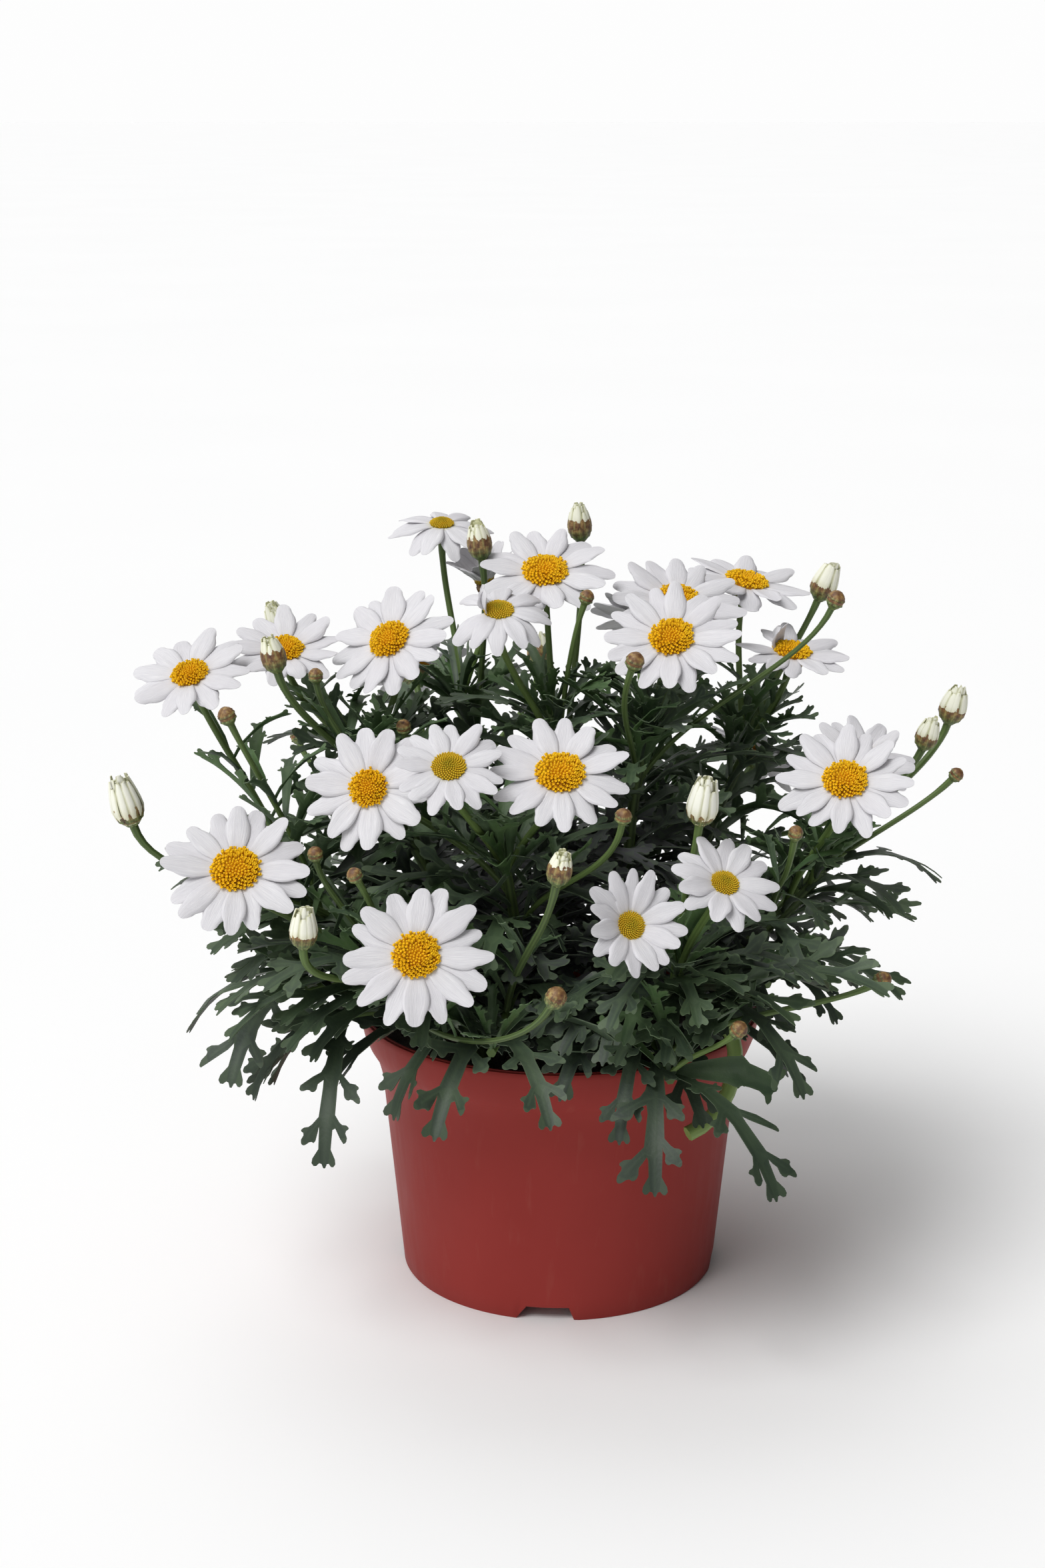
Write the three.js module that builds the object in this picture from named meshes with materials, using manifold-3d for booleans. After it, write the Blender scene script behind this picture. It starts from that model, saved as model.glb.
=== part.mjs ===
// Potted marguerite daisy: a bushy flowering plant in a plastic nursery pot of dark peat.
// Millimetres, +Z up. The origin is on the pot's axis, on the surface that the pot stands on.
// Azimuth 0 is the front, towards -Y, and it grows towards +X. Elevation is up from level.
import * as THREE from 'three';
import { mergeVertices } from 'three/addons/utils/BufferGeometryUtils.js';
import Module from 'manifold-3d';

const wasm = await Module();
wasm.setup();

const GAP = 0.3;

// Pot: a 13 cm nursery pot
const POT_HEIGHT = 88;
const RIM_RADIUS = 65;
const FOOT_RADIUS = 51.4;
const WALL_TOP_RADIUS = 57.9;
const WALL_TOP = 66;
const WALL = 1.6;
const FLOOR_HEIGHT = 5.6;
const FLOOR_THICKNESS = 1.6;
const SHOULDER = [[60.1, 73.7], [62.3, 77], [63.8, 80.8], [64.6, 84.3]];
const POT_SIDES = 32;
const NOTCH_WIDTH = 17;
const NOTCH_HEIGHT = 4.5;
const NOTCH_FIRST_AZIMUTH = -4;
const NOTCH_COUNT = 4;
const NOTCH_DEPTH = 13;
const DRAIN_RADIUS = 4.5;
const DRAIN_RING = 31;
const DRAIN_COUNT = 4;
const DRAIN_SIDES = 8;

// Soil
const SOIL_TOP = 78;
const SOIL_RINGS = [0.36, 0.7];
const SOIL_SIDES = 16;
const SOIL_BUMP = 1.4;
const HOLE_DEPTH = 12;
const HOLE_CLEARANCE = 1.2;
const HOLE_SIDES = 5;

// Stems. Each runs along a cubic curve, whose two inner control points stand off its ends by shares of
// its reach: up or down, outwards or inwards, and for a flower stem ahead towards its head and back from it.
const STEM_ROOT_RADIUS = 2.5;
const STEM_TIP_RADIUS = 1.5;
const STEM_SIDES = 4;
const STEM_STEPS = 5;
const STEM_CURVE = { up: 0.3, out: 0.12, down: 0.28, in: 0.16 };
const SHOOT_RADIUS = 1.4;
const SHOOT_STEPS = 3;
const SHOOT_CURVE = { up: 0.25, out: 0.2, in: 0.3 };
const PEDUNCLE_RADIUS = 1.05;
const PEDUNCLE_STEPS = 3;
const PEDUNCLE_CURVE = { up: 0.16, ahead: 0.2, back: 0.26 };

// The ways a flower stem may bend sideways to stay clear of its neighbours, in mm
const BENDS = [0, 7, -7, 14, -14, 21, -21, 28, -28];

// Heads. A petal's side and end points are shares of its length, and their widths are shares of the
// room between its neighbours there.
const HUB_THICKNESS = 1.1;
const HUB_MARGIN = 0.4;
const PETAL_THICKNESS = 0.9;
const PETAL_SHAPE = { middle: 0.55, side: 0.5, end: 0.93, sideWidth: 0.96, endWidth: 0.48 };
const RAYS = 12;
const PETAL_STAGGER = 5;
const PETAL_DROOP_RANGE = 6;
const PETAL_LENGTHS = [0.94, 1.06];
const DISC_SIDES = 8;
const DISC_BUMPS = [0.4, -0.2];
const DISC_RINGS = [
  { radius: 1, height: 0, offset: 0 },
  { radius: 0.92, height: 1.3, offset: 0.5 },
  { radius: 0.5, height: 2.4, offset: 0 },
];
const DISC_MIDDLE = 2.3;
const CUP_DEPTH = 5.5;
const CUP_SHAPE = [[0.3, 0.7], [1, 0.86]];
const BUD_SHAPE = [[0.25, 0.86], [0.62, 1], [1, 0.42]];
const HEAD_SIDES = 4;

// Leaf outlines, from the pointed root to the end, in sections. A section's points are [way along the
// rib, half width], both shares of the leaf's length. A lobe is a point and the notch after it.
const LEAF_RIB_START = 0.07;
const LARGE_LEAF = 50;
const LARGE_OUTLINE = [[[0.34, 0.035]], [[0.66, 0.25], [0.55, 0.05]], [[0.94, 0.19], [0.81, 0.045]]];
const SMALL_OUTLINE = [[[0.64, 0.21], [0.56, 0.05]], [[0.95, 0.17], [0.82, 0.045]]];
const LEAF_THICKNESS = 1.3;
const LEAF_CUP = 0.35;
const GOLDEN_ANGLE = 137.5;
const LEAF_SEED = 11;

// A leaf's rib leaves its stem at rise and ends at fall, both elevations. These and its length go from
// the low leaves' figures to the high leaves'.
const LOW_LEAF_HEIGHT = 90;
const HIGH_LEAF_HEIGHT = 180;
const LEAF_RISES = { low: 30, high: 62, range: 14 };
const LEAF_FALLS = { low: -58, high: -12, range: 24 };
const LEAF_LENGTHS = { low: 58, high: 42, range: 0.2 };
const LEAF_ROLL_RANGE = 26;

// The poses that a leaf may take, as changes of its azimuth and tilt, in the order in which they are tried
const LEAF_TRIES = [
  [0, 0], [16, 8], [-16, -8], [30, -16], [-30, 16], [50, 22], [-50, -22], [75, 10], [-75, -10],
  [110, 0], [-110, 20],
];

// Slivers thinner than this are taken out where pieces join
const SLIVER = 0.02;

// Each leafy stem: where it stands in the soil, where its leafy part ends, and its leaves.
// leafy is the stretch that bears leaves, and spread is how far round they turn from the outward side.
const STEMS = [
  { name: 'back_left', base: [-9, 16], tip: [-34, 32, 182], leaves: 8, leafy: [0.45, 1], spread: 360 },
  { name: 'middle', base: [2, -3], tip: [-4, 2, 186], leaves: 9, leafy: [0.45, 1], spread: 360 },
  { name: 'left_top', base: [-17, -1], tip: [-62, -6, 170], leaves: 10, leafy: [0.4, 1], spread: 360 },
  { name: 'left', base: [-30, -10], tip: [-84, -28, 138], leaves: 8, leafy: [0.25, 1], spread: 250 },
  { name: 'right_top', base: [16, 6], tip: [30, -6, 182], leaves: 9, leafy: [0.45, 1], spread: 360 },
  { name: 'right_back', base: [28, 18], tip: [62, 26, 168], leaves: 8, leafy: [0.42, 1], spread: 360 },
  { name: 'right', base: [34, -8], tip: [84, -6, 136], leaves: 8, leafy: [0.25, 1], spread: 250 },
  { name: 'front', base: [-9, -20], tip: [-16, -50, 148], leaves: 9, leafy: [0.3, 1], spread: 300 },
  { name: 'front_left', base: [-24, -27], tip: [-54, -64, 122], leaves: 8, leafy: [0.2, 1], spread: 250 },
  { name: 'front_right', base: [16, -27], tip: [36, -66, 122], leaves: 8, leafy: [0.2, 1], spread: 250 },
  { name: 'back_right', base: [16, 31], tip: [34, 70, 140], leaves: 8, leafy: [0.25, 1], spread: 260 },
  { name: 'back', base: [-22, 30], tip: [-48, 68, 134], leaves: 8, leafy: [0.25, 1], spread: 260 },
];

// Low side shoots, whose leaves hang over the rim. droop turns their leaves further down, and those of the
// front shoots hang closer together, so that the rim shows between them.
const SHOOTS = [
  { name: 'low_left', on: 'left', from: 0.35, tip: [-80, -34, 104], droop: 8 },
  { name: 'low_right', on: 'right', from: 0.35, tip: [66, -26, 104], droop: 8 },
  { name: 'low_front', on: 'front', from: 0.3, tip: [-20, -83, 102], droop: 20, spread: 70 },
  { name: 'low_front_left', on: 'front_left', from: 0.35, tip: [-68, -48, 100], droop: 16, spread: 70 },
  { name: 'low_front_right', on: 'front_right', from: 0.35, tip: [33, -81, 93], droop: 18, spread: 70 },
  { name: 'low_right_front', on: 'front_right', from: 0.5, tip: [55, -48, 104], droop: 2 },
  { name: 'low_back_right', on: 'back_right', from: 0.3, tip: [64, 52, 103], droop: 8 },
  { name: 'low_back', on: 'back', from: 0.3, tip: [-10, 80, 102], droop: 12 },
  { name: 'low_back_left', on: 'left_top', from: 0.3, tip: [-66, 34, 112], droop: 0 },
].map((shoot) => ({ leaves: 3, leafy: [0.35, 1], spread: 150, ...shoot }));

// Open blooms: at is the middle of the ring of rays, face its azimuth and elevation, lift and tip the
// elevation of a ray above the ring at its root and its end. They leave their stem or shoot at from.
const BLOOMS = [
  { at: [-39, 40, 239], face: [4, 77], reach: 18, disc: 3.9, lift: 4, tip: -38, on: 'back_left', from: 0.9 },
  { at: [-5, 8, 229], face: [-3, 60], reach: 22, disc: 6.9, lift: 12, tip: -4, on: 'middle', from: 0.95 },
  { at: [-19, -20, 222], face: [2, 66], reach: 18, disc: 4.7, lift: 14, tip: -50, on: 'middle', from: 0.8 },
  { at: [-53, -12, 211], face: [-31, 46], reach: 21, disc: 6.1, lift: 8, tip: -4, on: 'left_top', from: 0.96 },
  { at: [-86, -8, 207], face: [-1, 62], reach: 19, disc: 5.5, lift: 16, tip: 2, on: 'left_top', from: 0.84 },
  { at: [-114, -22, 202], face: [-20, 60], reach: 20, disc: 5.4, lift: 12, tip: -8, on: 'left', from: 0.94 },
  { at: [37, 8, 220], face: [12, 60], reach: 22, disc: 6.3, lift: 10, tip: -2, on: 'right_top', from: 0.95 },
  { at: [34, -22, 214], face: [-8, 50], reach: 22, disc: 6.5, lift: 8, tip: -4, on: 'right_top', from: 0.85 },
  { at: [61, 40, 220], face: [49, 76], reach: 22, disc: 6.7, lift: 10, tip: -6, on: 'right_back', from: 0.95 },
  { at: [74, 14, 202], face: [34, 76], reach: 20, disc: 5.8, lift: 12, tip: -6, on: 'right_back', from: 0.82 },
  { at: [-56, -66, 178], face: [-14, 26], reach: 20, disc: 5.3, lift: 8, tip: -4, on: 'front', from: 0.84 },
  { at: [-32, -80, 188], face: [3, 52], reach: 17, disc: 5, lift: 8, tip: -6, on: 'front', from: 0.93 },
  { at: [0, -72, 184], face: [0, 52], reach: 21, disc: 6.8, lift: 8, tip: -6, on: 'front', from: 0.98 },
  { at: [85, -52, 177], face: [-8, 50], reach: 21, disc: 6.3, lift: 6, tip: -4, on: 'right', from: 0.74 },
  { at: [93, -24, 176], face: [16, 55], reach: 18, disc: 5.8, lift: 12, tip: 0, on: 'right', from: 0.9 },
  { at: [-95, -74, 155], face: [2, 46], reach: 22, disc: 6.9, lift: 8, tip: -4, on: 'front_left', from: 0.8 },
  { at: [-41, -98, 137], face: [2, 35], reach: 22, disc: 6.5, lift: 6, tip: -4, on: 'front_left', from: 0.5 },
  { at: [20, -100, 147], face: [23, 28], reach: 17, disc: 4.2, lift: 36, tip: 8, on: 'front_right', from: 0.6 },
  { at: [47, -92, 157], face: [23, 52], reach: 17, disc: 4.1, lift: 20, tip: -14, on: 'front_right', from: 0.97 },
  { at: [30, 98, 196], face: [160, 50], reach: 21, disc: 6.4, lift: 8, tip: -6, on: 'back_right', from: 0.95 },
  { at: [70, 88, 150], face: [136, 44], reach: 21, disc: 6.2, lift: 8, tip: -5, on: 'back_right', from: 0.7 },
  { at: [-52, 96, 178], face: [198, 46], reach: 21, disc: 6.5, lift: 10, tip: -5, on: 'back', from: 0.94 },
  { at: [-25, 34, 222], face: [-41, 74], reach: 15, disc: 3.4, lift: 66, tip: 30, on: 'back_left', from: 0.97 },
];

// Closed buds, with the radius and length of the head. up bends a flower stem's start otherwise than
// PEDUNCLE_CURVE does.
const BUDS = [
  { at: [-26, 14, 238], face: [-57, 80], radius: 4.3, length: 12, on: 'back_left', from: 0.82 },
  { at: [6, 38, 240], face: [-39, 83], radius: 4.3, length: 12, on: 'middle', from: 0.72 },
  { at: [-91, 16, 212], face: [-71, 66], radius: 4.2, length: 11, on: 'left_top', from: 0.88 },
  { at: [-87, -34, 211], face: [-68, 76], radius: 4.2, length: 11, on: 'left_top', from: 0.78 },
  { at: [87, 42, 220], face: [64, 68], radius: 4.8, length: 13, on: 'right_back', from: 0.9 },
  { at: [130, 36, 180], face: [53, 73], radius: 5, length: 13, on: 'right', from: 0.8 },
  { at: [120, 24, 173], face: [58, 72], radius: 4.2, length: 11, on: 'right', from: 0.62 },
  { at: [-129, -60, 172], face: [-77, 75], radius: 5.4, length: 15, on: 'left', from: 0.6 },
  { at: [-73, -98, 145], face: [36, 85], radius: 4.4, length: 12, on: 'front_left', from: 0.6 },
  { at: [0, -108, 166], face: [50, 76], radius: 3.9, length: 10, on: 'low_front', from: 0.6 },
  { at: [41, -84, 179], face: [35, 77], radius: 5, length: 14, on: 'front_right', from: 0.88 },
  { at: [84, -20, 226], face: [66, 66], radius: 3.2, length: 6, on: 'right_top', from: 0.78 },
  { at: [-100, -46, 195], face: [-62, 66], radius: 3.1, length: 6, on: 'left', from: 0.8 },
  { at: [-75, -26, 203], face: [-48, 85], radius: 2.6, length: 5, on: 'left_top', from: 0.6 },
  { at: [-48, -30, 188], face: [-23, 71], radius: 2.6, length: 5, on: 'left_top', from: 0.92 },
  { at: [8, -12, 225], face: [61, 69], radius: 2.6, length: 5, on: 'middle', from: 0.88 },
  { at: [22, -50, 213], face: [50, 67], radius: 3.2, length: 6, on: 'right_top', from: 0.78 },
  { at: [18, -92, 177], face: [27, 73], radius: 2.8, length: 5, on: 'front', from: 0.62 },
  { at: [-72, -70, 159], face: [-23, 74], radius: 2.6, length: 5, on: 'front_left', from: 0.92 },
  { at: [-59, -88, 158], face: [-53, 60], radius: 2.6, length: 5, on: 'front_left', from: 0.84 },
  { at: [-1, -116, 131], face: [63, 61], radius: 3.4, length: 7, on: 'front_left', from: 0.9, up: -0.3 },
  { at: [52, -92, 113], face: [55, 49], radius: 2.9, length: 6, on: 'low_front_right', from: 0.95 },
  { at: [97, -62, 118], face: [77, 33], radius: 3, length: 6, on: 'low_front_right', from: 0.75 },
  { at: [129, 18, 161], face: [74, 49], radius: 2.7, length: 5, on: 'right', from: 0.6 },
  { at: [69, -70, 166], face: [21, 74], radius: 2.5, length: 5, on: 'right', from: 0.66 },
  { at: [-8, 112, 182], face: [180, 70], radius: 4.4, length: 12, on: 'back', from: 0.86 },
  { at: [-92, 80, 158], face: [220, 60], radius: 3, length: 6, on: 'back', from: 0.6 },
  { at: [112, 56, 150], face: [120, 55], radius: 3, length: 6, on: 'back_right', from: 0.5 },
];

const radians = THREE.MathUtils.degToRad;
const lerp = THREE.MathUtils.lerp;
const UP = new THREE.Vector3(0, 0, 1);

// A seeded random number in 0..1 for each call, the same on every run
function randomFrom(seed) {
  let state = seed >>> 0;
  return () => {
    state = (state + 0x6D2B79F5) >>> 0;
    let mixed = Math.imul(state ^ (state >>> 15), state | 1);
    mixed ^= mixed + Math.imul(mixed ^ (mixed >>> 7), mixed | 61);
    return ((mixed ^ (mixed >>> 14)) >>> 0) / 4294967296;
  };
}

function vector([x, y, z]) {
  return new THREE.Vector3(x, y, z);
}

function heading(azimuth, elevation) {
  const level = Math.cos(radians(elevation));
  const turn = radians(azimuth);
  return new THREE.Vector3(Math.sin(turn) * level, -Math.cos(turn) * level, Math.sin(radians(elevation)));
}

// A closed mesh put together point by point
class Shell {
  constructor() {
    this.points = [];
    this.faces = [];
  }

  point(place) {
    this.points.push(place.x, place.y, place.z);
    return this.points.length / 3 - 1;
  }

  face(...corners) {
    for (let i = 2; i < corners.length; i += 1) {
      this.faces.push(corners[0], corners[i - 1], corners[i]);
    }
  }

  solid() {
    return new wasm.Manifold(new wasm.Mesh({
      numProp: 3,
      vertProperties: new Float32Array(this.points),
      triVerts: new Uint32Array(this.faces),
    }));
  }
}

// A solid from a three.js geometry, with its shared points merged
function solidOf(geometry) {
  const bare = geometry.clone();
  bare.deleteAttribute('normal');
  bare.deleteAttribute('uv');
  const merged = mergeVertices(bare, 1e-4);
  const corners = merged.index.array;
  const kept = [];
  for (let i = 0; i < corners.length; i += 3) {
    const [a, b, c] = corners.slice(i, i + 3);
    if (a !== b && b !== c && c !== a) {
      kept.push(a, b, c);
    }
  }
  return new wasm.Manifold(new wasm.Mesh({
    numProp: 3,
    vertProperties: merged.attributes.position.array,
    triVerts: new Uint32Array(kept),
  }));
}

// The outer skin of a solid's largest body: slivers that joining leaves are taken out, and a hollow
// that it seals is filled
function outerBody(solid) {
  return solid.simplify(SLIVER).decompose().sort((a, b) => b.volume() - a.volume())[0];
}

function geometryOf(solid) {
  const mesh = solid.getMesh();
  const geometry = new THREE.BufferGeometry();
  geometry.setAttribute('position', new THREE.BufferAttribute(mesh.vertProperties, 3));
  geometry.setIndex(new THREE.BufferAttribute(mesh.triVerts, 1));
  return geometry;
}

// Two directions across a given one
function across(direction) {
  const side = new THREE.Vector3().crossVectors(direction, Math.abs(direction.z) > 0.9
    ? new THREE.Vector3(1, 0, 0) : UP).normalize();
  const other = new THREE.Vector3().crossVectors(direction, side).normalize();
  return [side, other];
}

// A closed tube through the stations, each a place and a radius
function tube(stations, sides) {
  const shell = new Shell();
  const rings = [];
  let side = null;
  stations.forEach(({ place, radius }, i) => {
    const before = stations[Math.max(i - 1, 0)].place;
    const after = stations[Math.min(i + 1, stations.length - 1)].place;
    const along = after.clone().sub(before).normalize();
    side = side ? side.clone().addScaledVector(along, -side.dot(along)).normalize() : across(along)[0];
    const other = new THREE.Vector3().crossVectors(along, side);
    const ring = [];
    for (let k = 0; k < sides; k += 1) {
      const turn = 2 * Math.PI * k / sides;
      ring.push(shell.point(place.clone()
        .addScaledVector(side, radius * Math.cos(turn))
        .addScaledVector(other, radius * Math.sin(turn))));
    }
    rings.push(ring);
  });
  for (let i = 1; i < rings.length; i += 1) {
    for (let k = 0; k < sides; k += 1) {
      const next = (k + 1) % sides;
      shell.face(rings[i - 1][k], rings[i - 1][next], rings[i][next], rings[i][k]);
    }
  }
  shell.face(...rings[0].slice().reverse());
  shell.face(...rings[rings.length - 1]);
  return shell.solid();
}

// Pot
function potSolid() {
  const outer = [[FOOT_RADIUS, 0], [WALL_TOP_RADIUS, WALL_TOP], ...SHOULDER, [RIM_RADIUS, POT_HEIGHT]];
  const inner = SHOULDER.map(([radius, height]) => [radius - WALL, height - WALL / 2]).reverse();
  const floorTop = FLOOR_HEIGHT + FLOOR_THICKNESS;
  const profile = [
    ...outer,
    [RIM_RADIUS - WALL, POT_HEIGHT],
    ...inner,
    [WALL_TOP_RADIUS - WALL, WALL_TOP],
    [innerRadius(floorTop), floorTop],
    [0, floorTop],
    [0, FLOOR_HEIGHT],
    [innerRadius(FLOOR_HEIGHT), FLOOR_HEIGHT],
    [FOOT_RADIUS - 2 * WALL, 0],
    outer[0],
  ].map(([radius, height]) => new THREE.Vector2(radius, height));
  const lathe = new THREE.LatheGeometry(profile, POT_SIDES);
  lathe.rotateX(Math.PI / 2);
  let pot = solidOf(lathe);
  for (let i = 0; i < NOTCH_COUNT; i += 1) {
    const azimuth = NOTCH_FIRST_AZIMUTH + 360 / NOTCH_COUNT * i;
    const notch = new THREE.BoxGeometry(NOTCH_WIDTH, NOTCH_DEPTH, 2 * NOTCH_HEIGHT);
    notch.translate(0, -FOOT_RADIUS, 0);
    notch.rotateZ(radians(azimuth));
    pot = pot.subtract(solidOf(notch));
  }
  for (let i = 0; i < DRAIN_COUNT; i += 1) {
    const drain = new THREE.CylinderGeometry(DRAIN_RADIUS, DRAIN_RADIUS, 4 * FLOOR_THICKNESS, DRAIN_SIDES);
    drain.rotateX(Math.PI / 2);
    drain.translate(0, DRAIN_RING, FLOOR_HEIGHT + FLOOR_THICKNESS / 2);
    drain.rotateZ(2 * Math.PI * i / DRAIN_COUNT);
    pot = pot.subtract(solidOf(drain));
  }
  return pot;
}

function innerRadius(height) {
  return lerp(FOOT_RADIUS, WALL_TOP_RADIUS, height / WALL_TOP) - WALL;
}

// Soil: a tapered plug with a lumpy top
function soilSolid() {
  const floor = FLOOR_HEIGHT + FLOOR_THICKNESS + GAP;
  const flat = Math.cos(Math.PI / POT_SIDES);
  const [collarRadius, collarHeight] = SHOULDER[1];
  const random = randomFrom(5);
  const shell = new Shell();
  const ringAt = (radius, height, bump) => {
    const ring = [];
    for (let k = 0; k < SOIL_SIDES; k += 1) {
      const turn = 2 * Math.PI * k / SOIL_SIDES;
      ring.push(shell.point(vector([
        radius * Math.cos(turn), radius * Math.sin(turn), height + bump * (random() - 0.5),
      ])));
    }
    return ring;
  };
  const topRadius = (collarRadius - WALL) * flat - GAP;
  const rings = [
    ringAt(innerRadius(floor) * flat - GAP, floor, 0),
    ringAt((WALL_TOP_RADIUS - WALL) * flat - GAP, WALL_TOP, 0),
    ringAt(topRadius, Math.min(SOIL_TOP, collarHeight), 0),
    ringAt(topRadius * SOIL_RINGS[1], SOIL_TOP, SOIL_BUMP),
    ringAt(topRadius * SOIL_RINGS[0], SOIL_TOP, SOIL_BUMP),
  ];
  for (let i = 1; i < rings.length; i += 1) {
    for (let k = 0; k < SOIL_SIDES; k += 1) {
      const next = (k + 1) % SOIL_SIDES;
      shell.face(rings[i - 1][k], rings[i - 1][next], rings[i][next], rings[i][k]);
    }
  }
  shell.face(...rings[0].slice().reverse());
  const middle = shell.point(vector([0, 0, SOIL_TOP]));
  const last = rings[rings.length - 1];
  last.forEach((corner, k) => shell.face(corner, last[(k + 1) % SOIL_SIDES], middle));
  let soil = shell.solid();
  for (const { base: [x, y] } of STEMS) {
    const radius = STEM_ROOT_RADIUS + HOLE_CLEARANCE;
    const hole = new THREE.CylinderGeometry(radius, radius, 2 * HOLE_DEPTH, HOLE_SIDES);
    hole.rotateX(Math.PI / 2);
    hole.translate(x, y, SOIL_TOP);
    soil = soil.subtract(solidOf(hole));
  }
  return soil;
}

// Rays: a thin hub with petals round it. The even ones stand a little above the odd ones, and each keeps
// to its own share of the way round, so that no two pass through each other.
function raysSolid(bloom) {
  const { reach, lift, tip } = bloom;
  const hub = bloom.disc + HUB_MARGIN;
  const normal = heading(...bloom.face);
  const [side, other] = across(normal);
  const place = (turn, radius, height, shift) => vector(bloom.at)
    .addScaledVector(side, radius * Math.cos(turn) - shift * Math.sin(turn))
    .addScaledVector(other, radius * Math.sin(turn) + shift * Math.cos(turn))
    .addScaledVector(normal, height);
  const shell = new Shell();
  const turnOf = (i) => 2 * Math.PI * i / RAYS;
  const rim = [];
  for (let i = 0; i < RAYS; i += 1) {
    const turn = turnOf(i - 0.5);
    rim.push({
      top: shell.point(place(turn, hub, HUB_THICKNESS / 2, 0)),
      under: shell.point(place(turn, hub, -HUB_THICKNESS / 2, 0)),
    });
  }
  const top = shell.point(place(0, 0, HUB_THICKNESS / 2, 0));
  const under = shell.point(place(0, 0, -HUB_THICKNESS / 2, 0));
  const length = reach - hub;
  const room = Math.tan(Math.PI / RAYS);
  const random = randomFrom(Math.round(bloom.at[0] * 7 + bloom.at[2] * 13 + 5000));
  for (let i = 0; i < RAYS; i += 1) {
    const turn = turnOf(i);
    const level = i % 2 === 0 ? PETAL_STAGGER : -PETAL_STAGGER;
    const droop = tip + PETAL_DROOP_RANGE * (random() - 0.5);
    const long = length * lerp(...PETAL_LENGTHS, random());
    const start = radians(lift + level);
    const bend = radians(droop + level) - start;
    const along = (share, width, rise) => {
      const spot = start + bend * share / 2;
      const slope = start + bend * share;
      const radius = hub + long * share * Math.cos(spot);
      const height = long * share * Math.sin(spot);
      return shell.point(place(
        turn, radius - rise * Math.sin(slope), height + rise * Math.cos(slope), radius * room * width));
    };
    const left = rim[i];
    const right = rim[(i + 1) % RAYS];
    const { middle, side: sideShare, end, sideWidth, endWidth } = PETAL_SHAPE;
    const face = [
      along(sideShare, sideWidth, 0), along(end, endWidth, 0),
      along(end, -endWidth, 0), along(sideShare, -sideWidth, 0),
    ];
    const [sideRight, , , sideLeft] = face;
    const upper = along(middle, 0, PETAL_THICKNESS / 2);
    const lower = along(middle, 0, -PETAL_THICKNESS / 2);
    const upperLoop = [left.top, right.top, ...face];
    const lowerLoop = [left.under, right.under, ...face];
    for (let k = 0; k < upperLoop.length; k += 1) {
      const next = (k + 1) % upperLoop.length;
      shell.face(upper, upperLoop[next], upperLoop[k]);
      shell.face(lower, lowerLoop[k], lowerLoop[next]);
    }
    shell.face(left.top, left.under, sideLeft);
    shell.face(right.under, right.top, sideRight);
    shell.face(top, left.top, right.top);
    shell.face(under, right.under, left.under);
  }
  return shell.solid();
}

// Disc: a low dome of coarse florets
function discSolid(bloom) {
  const normal = heading(...bloom.face);
  const [side, other] = across(normal);
  const shell = new Shell();
  const floor = HUB_THICKNESS / 2 + GAP;
  const rings = DISC_RINGS.map(({ radius, height, offset }) => {
    const ring = [];
    for (let k = 0; k < DISC_SIDES; k += 1) {
      const turn = 2 * Math.PI * (k + offset) / DISC_SIDES;
      const bump = height > 0 ? DISC_BUMPS[k % 2] : 0;
      ring.push(shell.point(vector(bloom.at)
        .addScaledVector(side, radius * bloom.disc * Math.cos(turn))
        .addScaledVector(other, radius * bloom.disc * Math.sin(turn))
        .addScaledVector(normal, floor + height + bump)));
    }
    return ring;
  });
  rings.slice(1).forEach((ring, i) => {
    const below = rings[i];
    ring.forEach((corner, k) => {
      const next = (k + 1) % DISC_SIDES;
      shell.face(below[k], below[next], ring[next], corner);
    });
  });
  shell.face(...rings[0].slice().reverse());
  const middle = shell.point(vector(bloom.at).addScaledVector(normal, floor + DISC_MIDDLE));
  rings[2].forEach((corner, k) => shell.face(corner, rings[2][(k + 1) % DISC_SIDES], middle));
  return shell.solid();
}

// The line of a leafy stem, from the top of its hole in the soil to its tip
function stemLine({ base: [x, y], tip }) {
  const start = new THREE.Vector3(x, y, SOIL_TOP + 3);
  const end = vector(tip);
  const reach = end.distanceTo(start);
  const out = new THREE.Vector3(end.x - x, end.y - y, 0).normalize();
  const first = start.clone()
    .addScaledVector(UP, reach * STEM_CURVE.up).addScaledVector(out, reach * STEM_CURVE.out);
  const last = end.clone()
    .addScaledVector(out, -reach * STEM_CURVE.in).addScaledVector(UP, -reach * STEM_CURVE.down);
  return new THREE.CubicBezierCurve3(start, first, last, end);
}

function stemSolid(stem, line) {
  const [x, y] = stem.base;
  const stations = [{ place: new THREE.Vector3(x, y, SOIL_TOP - HOLE_DEPTH + 1), radius: STEM_ROOT_RADIUS }];
  for (let i = 0; i <= STEM_STEPS; i += 1) {
    const share = i / STEM_STEPS;
    stations.push({ place: line.getPoint(share), radius: lerp(STEM_ROOT_RADIUS, STEM_TIP_RADIUS, share) });
  }
  return tube(stations, STEM_SIDES);
}

function shootLine(shoot, line) {
  const start = line.getPoint(shoot.from);
  const end = vector(shoot.tip);
  const reach = end.distanceTo(start);
  const out = end.clone().sub(start).setZ(0).normalize();
  const first = start.clone()
    .addScaledVector(UP, reach * SHOOT_CURVE.up).addScaledVector(out, reach * SHOOT_CURVE.out);
  const last = end.clone().addScaledVector(out, -reach * SHOOT_CURVE.in);
  return new THREE.CubicBezierCurve3(start, first, last, end);
}

function shootSolid(line) {
  const stations = [];
  for (let i = 0; i <= SHOOT_STEPS; i += 1) {
    stations.push({ place: line.getPoint(i / SHOOT_STEPS), radius: SHOOT_RADIUS });
  }
  return tube(stations, STEM_SIDES);
}

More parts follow.
